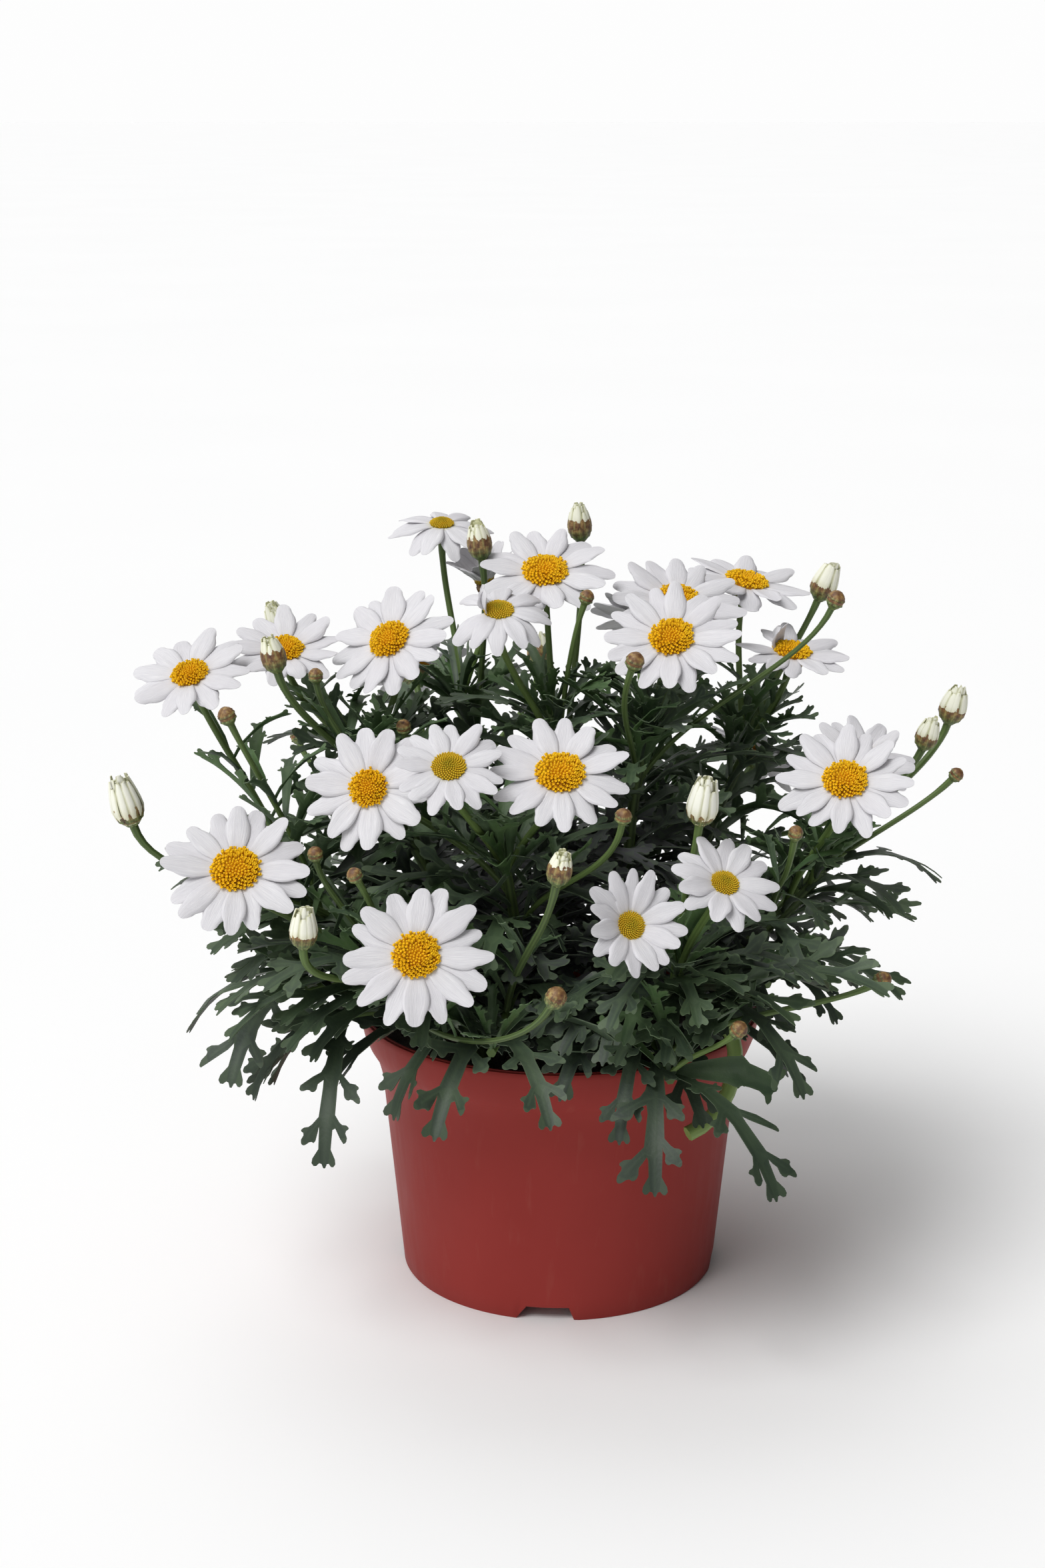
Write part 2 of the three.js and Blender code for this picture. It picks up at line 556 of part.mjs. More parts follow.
function peduncleLine(head, foot, line, bend) {
  const start = line.getPoint(head.from);
  const reach = foot.distanceTo(start);
  const ahead = foot.clone().sub(start).normalize();
  const sideways = new THREE.Vector3().crossVectors(UP, ahead).normalize();
  const first = start.clone().addScaledVector(ahead, reach * PEDUNCLE_CURVE.ahead)
    .addScaledVector(UP, reach * (head.up ?? PEDUNCLE_CURVE.up)).addScaledVector(sideways, bend);
  const last = foot.clone()
    .addScaledVector(heading(...head.face), -reach * PEDUNCLE_CURVE.back).addScaledVector(sideways, bend / 2);
  return new THREE.CubicBezierCurve3(start, first, last, foot);
}

// A flower stem with the green cup under a bloom, or with a closed bud. free leaves out its rooted end.
function headSolid(head, line, bend, extra, free) {
  const normal = heading(...head.face);
  const isBud = head.radius !== undefined;
  const top = vector(head.at).addScaledVector(normal, -HUB_THICKNESS / 2 - GAP);
  const foot = isBud ? vector(head.at).addScaledVector(normal, -head.length * 0.5)
    : top.clone().addScaledVector(normal, -CUP_DEPTH);
  const shape = isBud
    ? BUD_SHAPE.map(([share, wide]) => [share * head.length, wide * head.radius])
    : CUP_SHAPE.map(([share, wide]) => [share * CUP_DEPTH, wide * head.disc]);
  const way = peduncleLine(head, foot, line, bend);
  const stations = [];
  for (let i = free ? 1 : 0; i <= PEDUNCLE_STEPS; i += 1) {
    stations.push({ place: way.getPoint(i / PEDUNCLE_STEPS), radius: PEDUNCLE_RADIUS + extra });
  }
  for (const [rise, radius] of shape) {
    stations.push({ place: foot.clone().addScaledVector(normal, rise), radius });
  }
  return tube(stations, HEAD_SIDES);
}

// A point on a leaf: share of the way along its rib, half width and height above the blade
function leafPlace(leaf, share, width, height) {
  const { base, azimuth, rise, fall, length, roll } = leaf;
  const turn = radians(fall - rise);
  const angle = radians(rise) + turn * share;
  const forward = length * (Math.sin(angle) - Math.sin(radians(rise))) / turn;
  const upward = length * (Math.cos(radians(rise)) - Math.cos(angle)) / turn;
  const out = heading(azimuth, 0);
  const level = heading(azimuth + 90, 0);
  const normal = out.clone().multiplyScalar(-Math.sin(angle)).addScaledVector(UP, Math.cos(angle));
  const [rolled, turned] = [Math.cos(radians(roll)), Math.sin(radians(roll))];
  const side = level.clone().multiplyScalar(rolled).addScaledVector(normal, turned);
  const face = normal.clone().multiplyScalar(rolled).addScaledVector(level, -turned);
  return base.clone()
    .addScaledVector(out, forward)
    .addScaledVector(UP, upward)
    .addScaledVector(side, width)
    .addScaledVector(face, height + LEAF_CUP * Math.abs(width));
}

// A lobed blade, thick along its rib. free leaves out its rooted end.
function leafSolid(leaf, extra, free) {
  const sections = leaf.length < LARGE_LEAF ? SMALL_OUTLINE : LARGE_OUTLINE;
  const shift = free ? 0.16 : 0;
  const shell = new Shell();
  const rib = [LEAF_RIB_START + shift, ...sections.map((section) => section.at(-1)[0])];
  const ribPoints = (height) => rib.map((share) => shell.point(leafPlace(leaf, share, 0, height)));
  const upper = ribPoints(LEAF_THICKNESS / 2 + extra);
  const lower = ribPoints(-LEAF_THICKNESS / 2 - extra);
  const edge = (sign) => sections.map((section) => section.map(([share, width]) => shell.point(
    leafPlace(leaf, share, sign * (width * leaf.length + extra), 0))));
  const right = edge(1);
  const left = edge(-1);
  const root = shell.point(leafPlace(leaf, shift, 0, 0));
  const end = shell.point(leafPlace(leaf, 1 + extra / leaf.length, 0, 0));
  const skin = (middle, near, far) => {
    sections.forEach((section, i) => {
      const [nearBefore, farBefore] = [near, far].map((side) => (i === 0 ? root : side[i - 1].at(-1)));
      shell.face(middle[i], nearBefore, ...near[i], middle[i + 1]);
      shell.face(middle[i], middle[i + 1], ...far[i].toReversed(), farBefore);
    });
    shell.face(middle.at(-1), near.at(-1).at(-1), end, far.at(-1).at(-1));
  };
  skin(upper, left, right);
  skin(lower, right, left);
  return shell.solid();
}

// The leaves of one stem or side shoot, each with its place and its own draws
function leafSlots(line, stem, seed) {
  const slots = [];
  const [x, y] = stem.tip;
  const outward = THREE.MathUtils.radToDeg(Math.atan2(x, -y));
  for (let i = 0; i < stem.leaves; i += 1) {
    const random = randomFrom(LEAF_SEED * 10000 + seed * 100 + i);
    const share = lerp(...stem.leafy, (i + 0.3 + 0.4 * random()) / stem.leaves);
    const base = line.getPoint(share);
    const round = ((i * GOLDEN_ANGLE) % 360) / 360 - 0.5;
    const height = THREE.MathUtils.clamp(
      THREE.MathUtils.inverseLerp(LOW_LEAF_HEIGHT, HIGH_LEAF_HEIGHT, base.z), 0, 1);
    const droop = stem.droop ?? 0;
    slots.push({
      base,
      azimuth: outward + round * stem.spread,
      rise: lerp(LEAF_RISES.low, LEAF_RISES.high, height) - droop + LEAF_RISES.range * (random() - 0.5),
      fall: lerp(LEAF_FALLS.low, LEAF_FALLS.high, height) - droop + LEAF_FALLS.range * (random() - 0.5),
      length: lerp(LEAF_LENGTHS.low, LEAF_LENGTHS.high, height) * (1 + LEAF_LENGTHS.range * (random() - 0.5)),
      roll: LEAF_ROLL_RANGE * (random() - 0.5),
    });
  }
  return slots;
}

function leafTries(slot) {
  return LEAF_TRIES.map(([turn, tilt]) => ({
    ...slot, azimuth: slot.azimuth + turn, rise: slot.rise + tilt, fall: slot.fall + tilt,
  }));
}

// What has been placed. free is the part of a piece that its own node's other pieces stay clear of too.
const placed = [];

function place(node, whole, free) {
  placed.push({ node, whole, free });
}

function apart(one, other) {
  const a = one.boundingBox();
  const b = other.boundingBox();
  return [0, 1, 2].some((i) => a.max[i] < b.min[i] || b.max[i] < a.min[i]);
}

function isClear(node, whole, free) {
  return placed.every((other) => {
    if (other.node !== node) {
      return apart(whole, other.whole) || whole.intersect(other.whole).isEmpty();
    }
    return !other.free || apart(free, other.free) || free.intersect(other.free).isEmpty();
  });
}

// Colours and finishes
const finishes = {
  pot: new THREE.MeshStandardMaterial({ color: 0x86342f, roughness: 0.5 }),
  soil: new THREE.MeshStandardMaterial({ color: 0x1d1612, roughness: 1 }),
  green: new THREE.MeshStandardMaterial({ color: 0x3d6a3c, roughness: 0.7, flatShading: true }),
  white: new THREE.MeshStandardMaterial({ color: 0xf2f1f4, roughness: 0.6, flatShading: true }),
  yellow: new THREE.MeshStandardMaterial({ color: 0xe8a01c, roughness: 0.8, flatShading: true }),
};

const plant = new THREE.Group();

function addNode(name, solid, finish) {
  const mesh = new THREE.Mesh(geometryOf(solid), finishes[finish]);
  mesh.name = name;
  plant.add(mesh);
}

const pot = potSolid();
const soil = soilSolid();
place('pot', pot);
place('soil', soil);
addNode('pot', pot, 'pot');
addNode('soil', soil, 'soil');

BLOOMS.forEach((bloom, i) => {
  const number = String(i + 1).padStart(2, '0');
  const rays = raysSolid(bloom);
  place(`bloom_${number}_rays`, rays);
  addNode(`bloom_${number}_rays`, rays, 'white');
  const disc = discSolid(bloom);
  place(`bloom_${number}_disc`, disc);
  addNode(`bloom_${number}_disc`, disc, 'yellow');
});

// Stems and side shoots first, then flower stems, then leaves, each clear of what stands already.
// A shoot and what grows on it belong to its stem's node.
const lines = {};
const nodes = {};
const grown = {};
for (const stem of STEMS) {
  lines[stem.name] = stemLine(stem);
  nodes[stem.name] = stem.name;
  grown[stem.name] = [stemSolid(stem, lines[stem.name])];
  place(stem.name, grown[stem.name][0], grown[stem.name][0]);
}
for (const shoot of SHOOTS) {
  lines[shoot.name] = shootLine(shoot, lines[shoot.on]);
  nodes[shoot.name] = shoot.on;
  const solid = shootSolid(lines[shoot.name]);
  grown[shoot.on].push(solid);
  place(shoot.on, solid, solid);
}
for (const head of [...BLOOMS, ...BUDS]) {
  const line = lines[head.on];
  const node = nodes[head.on];
  const bend = BENDS.find((sideways) => isClear(
    node, headSolid(head, line, sideways, GAP, false), headSolid(head, line, sideways, GAP, true)));
  if (bend === undefined) {
    throw new Error(`no clear way for the flower stem of the head at ${head.at}`);
  }
  const solid = headSolid(head, line, bend, 0, false);
  grown[node].push(solid);
  place(node, solid, headSolid(head, line, bend, 0, true));
}
const slots = [...STEMS, ...SHOOTS].flatMap((stem, i) => leafSlots(lines[stem.name], stem, i + 1)
  .map((slot, order) => ({ slot, order, on: nodes[stem.name] })));
slots.sort((a, b) => a.order - b.order);
for (const { slot, on } of slots) {
  const leaf = leafTries(slot).find((pose) => {
    return isClear(on, leafSolid(pose, GAP, false), leafSolid(pose, GAP, true));
  });
  if (leaf !== undefined) {
    const solid = leafSolid(leaf, 0, false);
    grown[on].push(solid);
    place(on, solid, solid);
  }
}
for (const { name } of STEMS) {
  addNode(`stem_${name}`, outerBody(wasm.Manifold.union(grown[name])), 'green');
}
export default plant;
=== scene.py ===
# Potted marguerite daisy: petals, florets, leaves, buds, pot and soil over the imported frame.
# Lengths are in millimetres here and are scaled to metres when a mesh is made.
# Azimuth 0 is the front, towards -Y, and it grows towards +X. Elevation is up from level.
import math
import random

import bpy
import numpy as np
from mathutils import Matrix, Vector
from mathutils.geometry import delaunay_2d_cdt
from mathutils.kdtree import KDTree
from mathutils.bvhtree import BVHTree


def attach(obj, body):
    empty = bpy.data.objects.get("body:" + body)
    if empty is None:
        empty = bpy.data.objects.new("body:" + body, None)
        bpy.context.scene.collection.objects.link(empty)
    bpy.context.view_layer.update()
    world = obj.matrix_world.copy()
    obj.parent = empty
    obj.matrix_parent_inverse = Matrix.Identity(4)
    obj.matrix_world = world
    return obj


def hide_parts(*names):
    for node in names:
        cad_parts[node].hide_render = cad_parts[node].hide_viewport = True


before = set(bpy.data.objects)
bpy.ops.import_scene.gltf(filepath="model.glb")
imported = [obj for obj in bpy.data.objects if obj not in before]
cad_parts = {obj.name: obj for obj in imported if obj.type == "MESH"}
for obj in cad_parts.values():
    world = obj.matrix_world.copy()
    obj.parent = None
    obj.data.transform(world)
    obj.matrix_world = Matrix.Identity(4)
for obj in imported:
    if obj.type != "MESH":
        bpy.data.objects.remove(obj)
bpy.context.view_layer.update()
MM = 0.001
UP = np.array([0.0, 0.0, 1.0])
GOLDEN_ANGLE = 137.5
EDGE_THICKNESS = 0.25

# Camera: the photo is 1568 x 2352 pixels, and its focal length is worked out as 3900 pixels
PHOTO_HEIGHT = 2352
FOCAL_PIXELS = 3900
SENSOR = 36
CAMERA_PLACE = (0, -803.3, 374.4)
CAMERA_PITCH = 14.802
CAMERA_YAW = 0.857

# Stage: a floor, a sky with a pale backdrop behind the plant and a dark right side, and lights, each with
# its azimuth, elevation, strength and how wide it is in degrees
FLOOR_SIZE = 80
SKY = {"around": 0.55, "backdrop": 0.985, "right": 0.05}
STAGE_LIGHT_DISTANCE = 2
LIGHTS = {
    "key": (-38, 54, 2.1, 35),
    "front": (-36, 12, 0.14, 30),
    "top": (-150, 64, 0.45, 40),
}

# Pot
POT_HEIGHT = 88
RIM_RADIUS = 65
FOOT_RADIUS = 51.4
WALL_TOP_RADIUS = 57.9
WALL_TOP = 66
WALL = 1.6
FLOOR_HEIGHT = 5.6
FLOOR_THICKNESS = 1.6
SHOULDER = [[60.1, 73.7], [62.3, 77], [63.8, 80.8], [64.6, 84.3]]
POT_SIDES = 192
NOTCH_WIDTH = 17
NOTCH_HEIGHT = 4.5
NOTCH_FIRST_AZIMUTH = -4
NOTCH_COUNT = 4
DRAIN_RADIUS = 4.5
DRAIN_RING = 31
DRAIN_COUNT = 4

# Soil
SOIL_TOP = 78
CRUMBS = 520
PALE_GRAINS = 14
STUCK_GRAINS = [(-38, 81), (-34, 82.5), (-29, 80), (-27, 81.5)]

# Stems and heads, as in the solids
STEM_ROOT_RADIUS = 2.5
STEM_TIP_RADIUS = 1.5
SHOOT_RADIUS = 1.4
PEDUNCLE_RADIUS = 1.05
PEDUNCLE_STEPS = 3
PEDUNCLE_CURVE = {"up": 0.16, "ahead": 0.2, "back": 0.26}
HUB_THICKNESS = 1.1
GAP = 0.3
CUP_DEPTH = 5.5
BENDS = [0, 7, -7, 14, -14, 21, -21, 28, -28]

# Leaves, as in the solids
LARGE_LEAF = 50
LEAF_CUP = 0.35
LEAF_SEED = 11
LOW_LEAF_HEIGHT = 90
LEAF_HEIGHT_SPAN = 90
LEAF_TRIES = [
    (0, 0), (16, 8), (-16, -8), (30, -16), (-30, 16), (50, 22), (-50, -22), (75, 10), (-75, -10),
    (110, 0), (-110, 20),
]
LARGE_MARKS = [(0.94, 0.19), (0.66, 0.25)]
SMALL_MARKS = [(0.95, 0.17), (0.64, 0.21)]

# Leafy stems, each with where it stands, where its leafy part ends, its leaves, the stretch that bears
# them and how far round they turn
STEM_KEYS = ("name", "base", "tip", "leaves", "leafy", "spread")
STEMS = [dict(zip(STEM_KEYS, row)) for row in (
    ("back_left", (-9, 16), (-34, 32, 182), 8, (0.45, 1), 360),
    ("middle", (2, -3), (-4, 2, 186), 9, (0.45, 1), 360),
    ("left_top", (-17, -1), (-62, -6, 170), 10, (0.4, 1), 360),
    ("left", (-30, -10), (-84, -28, 138), 8, (0.25, 1), 250),
    ("right_top", (16, 6), (30, -6, 182), 9, (0.45, 1), 360),
    ("right_back", (28, 18), (62, 26, 168), 8, (0.42, 1), 360),
    ("right", (34, -8), (84, -6, 136), 8, (0.25, 1), 250),
    ("front", (-9, -20), (-16, -50, 148), 9, (0.3, 1), 300),
    ("front_left", (-24, -27), (-54, -64, 122), 8, (0.2, 1), 250),
    ("front_right", (16, -27), (36, -66, 122), 8, (0.2, 1), 250),
    ("back_right", (16, 31), (34, 70, 140), 8, (0.25, 1), 260),
    ("back", (-22, 30), (-48, 68, 134), 8, (0.25, 1), 260),
)]

# Side shoots, whose leaves hang over the rim, droop degrees further down
SHOOT_KEYS = ("name", "on", "from", "tip", "droop", "spread")
SHOOTS = [dict(zip(SHOOT_KEYS, row), leaves=3, leafy=(0.35, 1)) for row in (
    ("low_left", "left", 0.35, (-80, -34, 104), 8, 150),
    ("low_right", "right", 0.35, (66, -26, 104), 8, 150),
    ("low_front", "front", 0.3, (-20, -83, 102), 20, 70),
    ("low_front_left", "front_left", 0.35, (-68, -48, 100), 16, 70),
    ("low_front_right", "front_right", 0.35, (33, -81, 93), 18, 70),
    ("low_right_front", "front_right", 0.5, (55, -48, 104), 2, 150),
    ("low_back_right", "back_right", 0.3, (64, 52, 103), 8, 150),
    ("low_back", "back", 0.3, (-10, 80, 102), 12, 150),
    ("low_back_left", "left_top", 0.3, (-66, 34, 112), 0, 150),
)]

# Blooms: lift and tip are the elevations of a ray at its root and its end, rays their number, and young
# how far the disc still is from open
BLOOM_KEYS = ("at", "face", "reach", "disc", "rays", "lift", "tip", "on", "from", "young")
BLOOMS = [dict(zip(BLOOM_KEYS, row)) for row in (
    ((-39, 40, 239), (4, 77), 18, 3.9, 13, 4, -38, "back_left", 0.9, 1),
    ((-5, 8, 229), (-3, 60), 22, 6.9, 14, 12, -4, "middle", 0.95, 0),
    ((-19, -20, 222), (2, 66), 18, 4.7, 14, 14, -50, "middle", 0.8, 1),
    ((-53, -12, 211), (-31, 46), 21, 6.1, 15, 8, -4, "left_top", 0.96, 0),
    ((-86, -8, 207), (-1, 62), 19, 5.5, 13, 16, 2, "left_top", 0.84, 0.2),
    ((-114, -22, 202), (-20, 60), 20, 5.4, 13, 12, -8, "left", 0.94, 0.2),
    ((37, 8, 220), (12, 60), 22, 6.3, 14, 10, -2, "right_top", 0.95, 0),
    ((34, -22, 214), (-8, 50), 22, 6.5, 16, 8, -4, "right_top", 0.85, 0),
    ((61, 40, 220), (49, 76), 22, 6.7, 14, 10, -6, "right_back", 0.95, 0),
    ((74, 14, 202), (34, 76), 20, 5.8, 14, 12, -6, "right_back", 0.82, 0.1),
    ((-56, -66, 178), (-14, 26), 20, 5.3, 14, 8, -4, "front", 0.84, 0.1),
    ((-32, -80, 188), (3, 52), 17, 5, 15, 8, -6, "front", 0.93, 1),
    ((0, -72, 184), (0, 52), 21, 6.8, 15, 8, -6, "front", 0.98, 0),
    ((85, -52, 177), (-8, 50), 21, 6.3, 16, 6, -4, "right", 0.74, 0),
    ((93, -24, 176), (16, 55), 18, 5.8, 14, 12, 0, "right", 0.9, 0.1),
    ((-95, -74, 155), (2, 46), 22, 6.9, 16, 8, -4, "front_left", 0.8, 0),
    ((-41, -98, 137), (2, 35), 22, 6.5, 16, 6, -4, "front_left", 0.5, 0),
    ((20, -100, 147), (23, 28), 17, 4.2, 15, 36, 8, "front_right", 0.6, 1),
    ((47, -92, 157), (23, 52), 17, 4.1, 13, 20, -14, "front_right", 0.97, 1),
    ((30, 98, 196), (160, 50), 21, 6.4, 15, 8, -6, "back_right", 0.95, 0),
    ((70, 88, 150), (136, 44), 21, 6.2, 15, 8, -5, "back_right", 0.7, 0),
    ((-52, 96, 178), (198, 46), 21, 6.5, 15, 10, -5, "back", 0.94, 0),
    ((-25, 34, 222), (-41, 74), 15, 3.4, 12, 66, 30, "back_left", 0.97, 1),
)]

# Petals that stand up and curl over the disc, as turns round it, by bloom: 0 is left, and 90 the front
CURLED = {3: (60, 115), 10: (35, 95)}

# Buds: pale is the share of the head, from its top, that shows folded petals, and up bends the start of
# the flower stem otherwise than PEDUNCLE_CURVE does
BUD_KEYS = ("at", "face", "radius", "length", "on", "from", "pale")
BUDS = [dict(zip(BUD_KEYS, row)) for row in (
    ((-26, 14, 238), (-57, 80), 4.3, 12, "back_left", 0.82, 0.45),
    ((6, 38, 240), (-39, 83), 4.3, 12, "middle", 0.72, 0.45),
    ((-91, 16, 212), (-71, 66), 4.2, 11, "left_top", 0.88, 0.5),
    ((-87, -34, 211), (-68, 76), 4.2, 11, "left_top", 0.78, 0.42),
    ((87, 42, 220), (64, 68), 4.8, 13, "right_back", 0.9, 0.62),
    ((130, 36, 180), (53, 73), 5, 13, "right", 0.8, 0.6),
    ((120, 24, 173), (58, 72), 4.2, 11, "right", 0.62, 0.52),
    ((-129, -60, 172), (-77, 75), 5.4, 15, "left", 0.6, 0.78),
    ((-73, -98, 145), (36, 85), 4.4, 12, "front_left", 0.6, 0.66),
    ((0, -108, 166), (50, 76), 3.9, 10, "low_front", 0.6, 0.4),
    ((41, -84, 179), (35, 77), 5, 14, "front_right", 0.88, 0.84),
    ((84, -20, 226), (66, 66), 3.2, 6, "right_top", 0.78, 0),
    ((-100, -46, 195), (-62, 66), 3.1, 6, "left", 0.8, 0),
    ((-75, -26, 203), (-48, 85), 2.6, 5, "left_top", 0.6, 0),
    ((-48, -30, 188), (-23, 71), 2.6, 5, "left_top", 0.92, 0),
    ((8, -12, 225), (61, 69), 2.6, 5, "middle", 0.88, 0),
    ((22, -50, 213), (50, 67), 3.2, 6, "right_top", 0.78, 0),
    ((18, -92, 177), (27, 73), 2.8, 5, "front", 0.62, 0),
    ((-72, -70, 159), (-23, 74), 2.6, 5, "front_left", 0.92, 0),
    ((-59, -88, 158), (-53, 60), 2.6, 5, "front_left", 0.84, 0),
    ((-1, -116, 131), (63, 61), 3.4, 7, "front_left", 0.9, 0),
    ((52, -92, 113), (55, 49), 2.9, 6, "low_front_right", 0.95, 0),
    ((97, -62, 118), (77, 33), 3, 6, "low_front_right", 0.75, 0),
    ((129, 18, 161), (74, 49), 2.7, 5, "right", 0.6, 0),
    ((69, -70, 166), (21, 74), 2.5, 5, "right", 0.66, 0),
    ((-8, 112, 182), (180, 70), 4.4, 12, "back", 0.86, 0.5),
    ((-92, 80, 158), (220, 60), 3, 6, "back", 0.6, 0),
    ((112, 56, 150), (120, 55), 3, 6, "back_right", 0.5, 0),
)]
BUDS[20]["up"] = -0.3

# The cut stub that hangs over the rim at the right, and the broad leaf above it
STUB = {
    "on": "low_right_front", "from": 0.4, "way": ((62, -40, 104), (58, -52, 72), (39.5, -60, 67.3)),
    "radius": 2.3,
}
BROAD_LEAF = {
    "on": "low_front_right", "from": 0.95, "azimuth": 84, "rise": 24, "fall": -34, "length": 34, "roll": 50,
}


# Directions and curves
def lerp(a, b, share):
    return a + (b - a) * share


def unit(vector):
    return vector / np.linalg.norm(vector)


def heading(azimuth, elevation):
    turn, rise = math.radians(azimuth), math.radians(elevation)
    return np.array([math.sin(turn) * math.cos(rise), -math.cos(turn) * math.cos(rise), math.sin(rise)])


def across(direction):
    side = unit(np.cross(direction, (1, 0, 0) if abs(direction[2]) > 0.9 else UP))
    return side, unit(np.cross(direction, side))


def smooth_step(low, high, value):
    share = np.clip((value - low) / (high - low), 0, 1)
    return share * share * (3 - 2 * share)


class Curve:
    """A cubic curve through its four control points"""

    def __init__(self, start, first, last, end):
        self.points = [np.array(p, float) for p in (start, first, last, end)]

    def at(self, share):
        s = np.asarray(share, float)[..., None]
        a, b, c, d = self.points
        return a * (1 - s) ** 3 + 3 * b * s * (1 - s) ** 2 + 3 * c * s * s * (1 - s) + d * s ** 3


def level_unit(vector):
    return unit(np.array([vector[0], vector[1], 0.0]))


def stem_line(stem):
    start = np.array([*stem["base"], SOIL_TOP + 3.0])
    end = np.array(stem["tip"], float)
    reach = np.linalg.norm(end - start)
    out = level_unit(end - start)
    first = start + UP * reach * 0.3 + out * reach * 0.12
    last = end - out * reach * 0.16 - UP * reach * 0.28
    return Curve(start, first, last, end)


def shoot_line(shoot, line):
    start = line.at(shoot["from"])
    end = np.array(shoot["tip"], float)
    reach = np.linalg.norm(end - start)
    out = level_unit(end - start)
    return Curve(start, start + UP * reach * 0.25 + out * reach * 0.2, end - out * reach * 0.3, end)


def head_foot(head):
    normal = heading(*head["face"])
    at = np.array(head["at"], float)
    if "radius" in head:
        return at - normal * head["length"] * 0.5
    return at - normal * (HUB_THICKNESS / 2 + GAP + CUP_DEPTH)


def peduncle_line(head, line, bend):
    start = line.at(head["from"])
    foot = head_foot(head)
    reach = np.linalg.norm(foot - start)
    ahead = unit(foot - start)
    sideways = unit(np.cross(UP, ahead))
    up = head.get("up", PEDUNCLE_CURVE["up"])
    first = start + reach * (ahead * PEDUNCLE_CURVE["ahead"] + UP * up) + sideways * bend
    last = foot - heading(*head["face"]) * reach * PEDUNCLE_CURVE["back"] + sideways * bend / 2
    return Curve(start, first, last, foot)


# The seeded draws of the solids, so that each leaf is where its solid is
def draws(seed):
    state = seed & 0xFFFFFFFF
    while True:
        state = (state + 0x6D2B79F5) & 0xFFFFFFFF
        mixed = ((state ^ (state >> 15)) * (state | 1)) & 0xFFFFFFFF
        mixed ^= (mixed + (((mixed ^ (mixed >> 7)) * (mixed | 61)) & 0xFFFFFFFF)) & 0xFFFFFFFF
        yield (mixed ^ (mixed >> 14)) / 4294967296


def outward_azimuth(stem):
    return math.degrees(math.atan2(stem["tip"][0], -stem["tip"][1]))


def leaf_height(base):
    """How high a leaf stands, from 0 for the low ones to 1 for the high ones"""
    return min(max((base[2] - LOW_LEAF_HEIGHT) / LEAF_HEIGHT_SPAN, 0), 1)


def leaf_slots(line, stem, seed):
    slots = []
    outward = outward_azimuth(stem)
    droop = stem.get("droop", 0)
    for i in range(stem["leaves"]):
        draw = draws(LEAF_SEED * 10000 + seed * 100 + i)
        share = lerp(*stem["leafy"], (i + 0.3 + 0.4 * next(draw)) / stem["leaves"])
        base = line.at(share)
        turn = ((i * GOLDEN_ANGLE) % 360) / 360 - 0.5
        height = leaf_height(base)
        slots.append({
            "base": base,
            "azimuth": outward + turn * stem["spread"],
            "rise": lerp(30, 62, height) - droop + 14 * (next(draw) - 0.5),
            "fall": lerp(-58, -12, height) - droop + 24 * (next(draw) - 0.5),
            "length": lerp(58, 42, height) * (0.9 + 0.2 * next(draw)),
            "roll": 26 * (next(draw) - 0.5),
        })
    return slots


def leaf_points(leaf, share, width, height):
    """Places on a leaf: share of the way along its rib, half width and height above its blade"""
    turn = math.radians(leaf["fall"] - leaf["rise"])
    start = math.radians(leaf["rise"])
    angle = start + turn * share
    forward = leaf["length"] * (np.sin(angle) - math.sin(start)) / turn
    upward = leaf["length"] * (math.cos(start) - np.cos(angle)) / turn
    out = heading(leaf["azimuth"], 0)
    level = heading(leaf["azimuth"] + 90, 0)
    normal = -np.sin(angle)[:, None] * out + np.cos(angle)[:, None] * UP
    roll = math.radians(leaf["roll"]) + math.radians(leaf.get("twist", 0)) * share
    cos_roll, sin_roll = np.cos(roll) * np.ones_like(share), np.sin(roll) * np.ones_like(share)
    side = level * cos_roll[:, None] + normal * sin_roll[:, None]
    face = normal * cos_roll[:, None] - level * sin_roll[:, None]
    lift = height + LEAF_CUP * np.abs(width)
    return (leaf["base"] + forward[:, None] * out + upward[:, None] * UP
            + side * width[:, None] + face * lift[:, None])


def mark_places(leaf, marks):
    """Places in the middle of a leaf's blade, each mark a share of the way along its rib and a half width
    in shares of its length"""
    share, width = np.array(marks, float).T
    return leaf_points(leaf, share, width * leaf["length"], np.zeros(len(share)))


def mirrored(marks):
    return [(share, sign * width) for share, width in marks for sign in (1, -1)]


def node_tree(name):
    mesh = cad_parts[name].data
    tree = KDTree(len(mesh.vertices))
    for i, vertex in enumerate(mesh.vertices):
        tree.insert(vertex.co, i)
    tree.balance()
    return tree


def distance(tree, place):
    """How far a place is from the nearest corner of a node"""
    return tree.find(Vector(place) * MM)[2] / MM


def kept_leaf(slot, tree):
    """The pose that the leaf's solid took, found by its end and its lobes' points"""
    marks = [(1, 0)] + mirrored(SMALL_MARKS if slot["length"] < LARGE_LEAF else LARGE_MARKS)
    poses = []
    for turn, tilt in LEAF_TRIES:
        pose = {**slot, "azimuth": slot["azimuth"] + turn}
        pose["rise"] += tilt
        pose["fall"] += tilt
        poses.append(pose)
    return min(poses, key=lambda pose: sum(distance(tree, p) for p in mark_places(pose, marks)))


def kept_line(head, line, tree):
    """The way that the flower stem's solid took, found by the corners round its middle stations"""
    def error(bend):
        way = peduncle_line(head, line, bend)
        middles = [way.at(i / PEDUNCLE_STEPS) for i in range(1, PEDUNCLE_STEPS)]
        return sum(abs(distance(tree, middle) - PEDUNCLE_RADIUS) for middle in middles)
    return peduncle_line(head, line, min(BENDS, key=error))


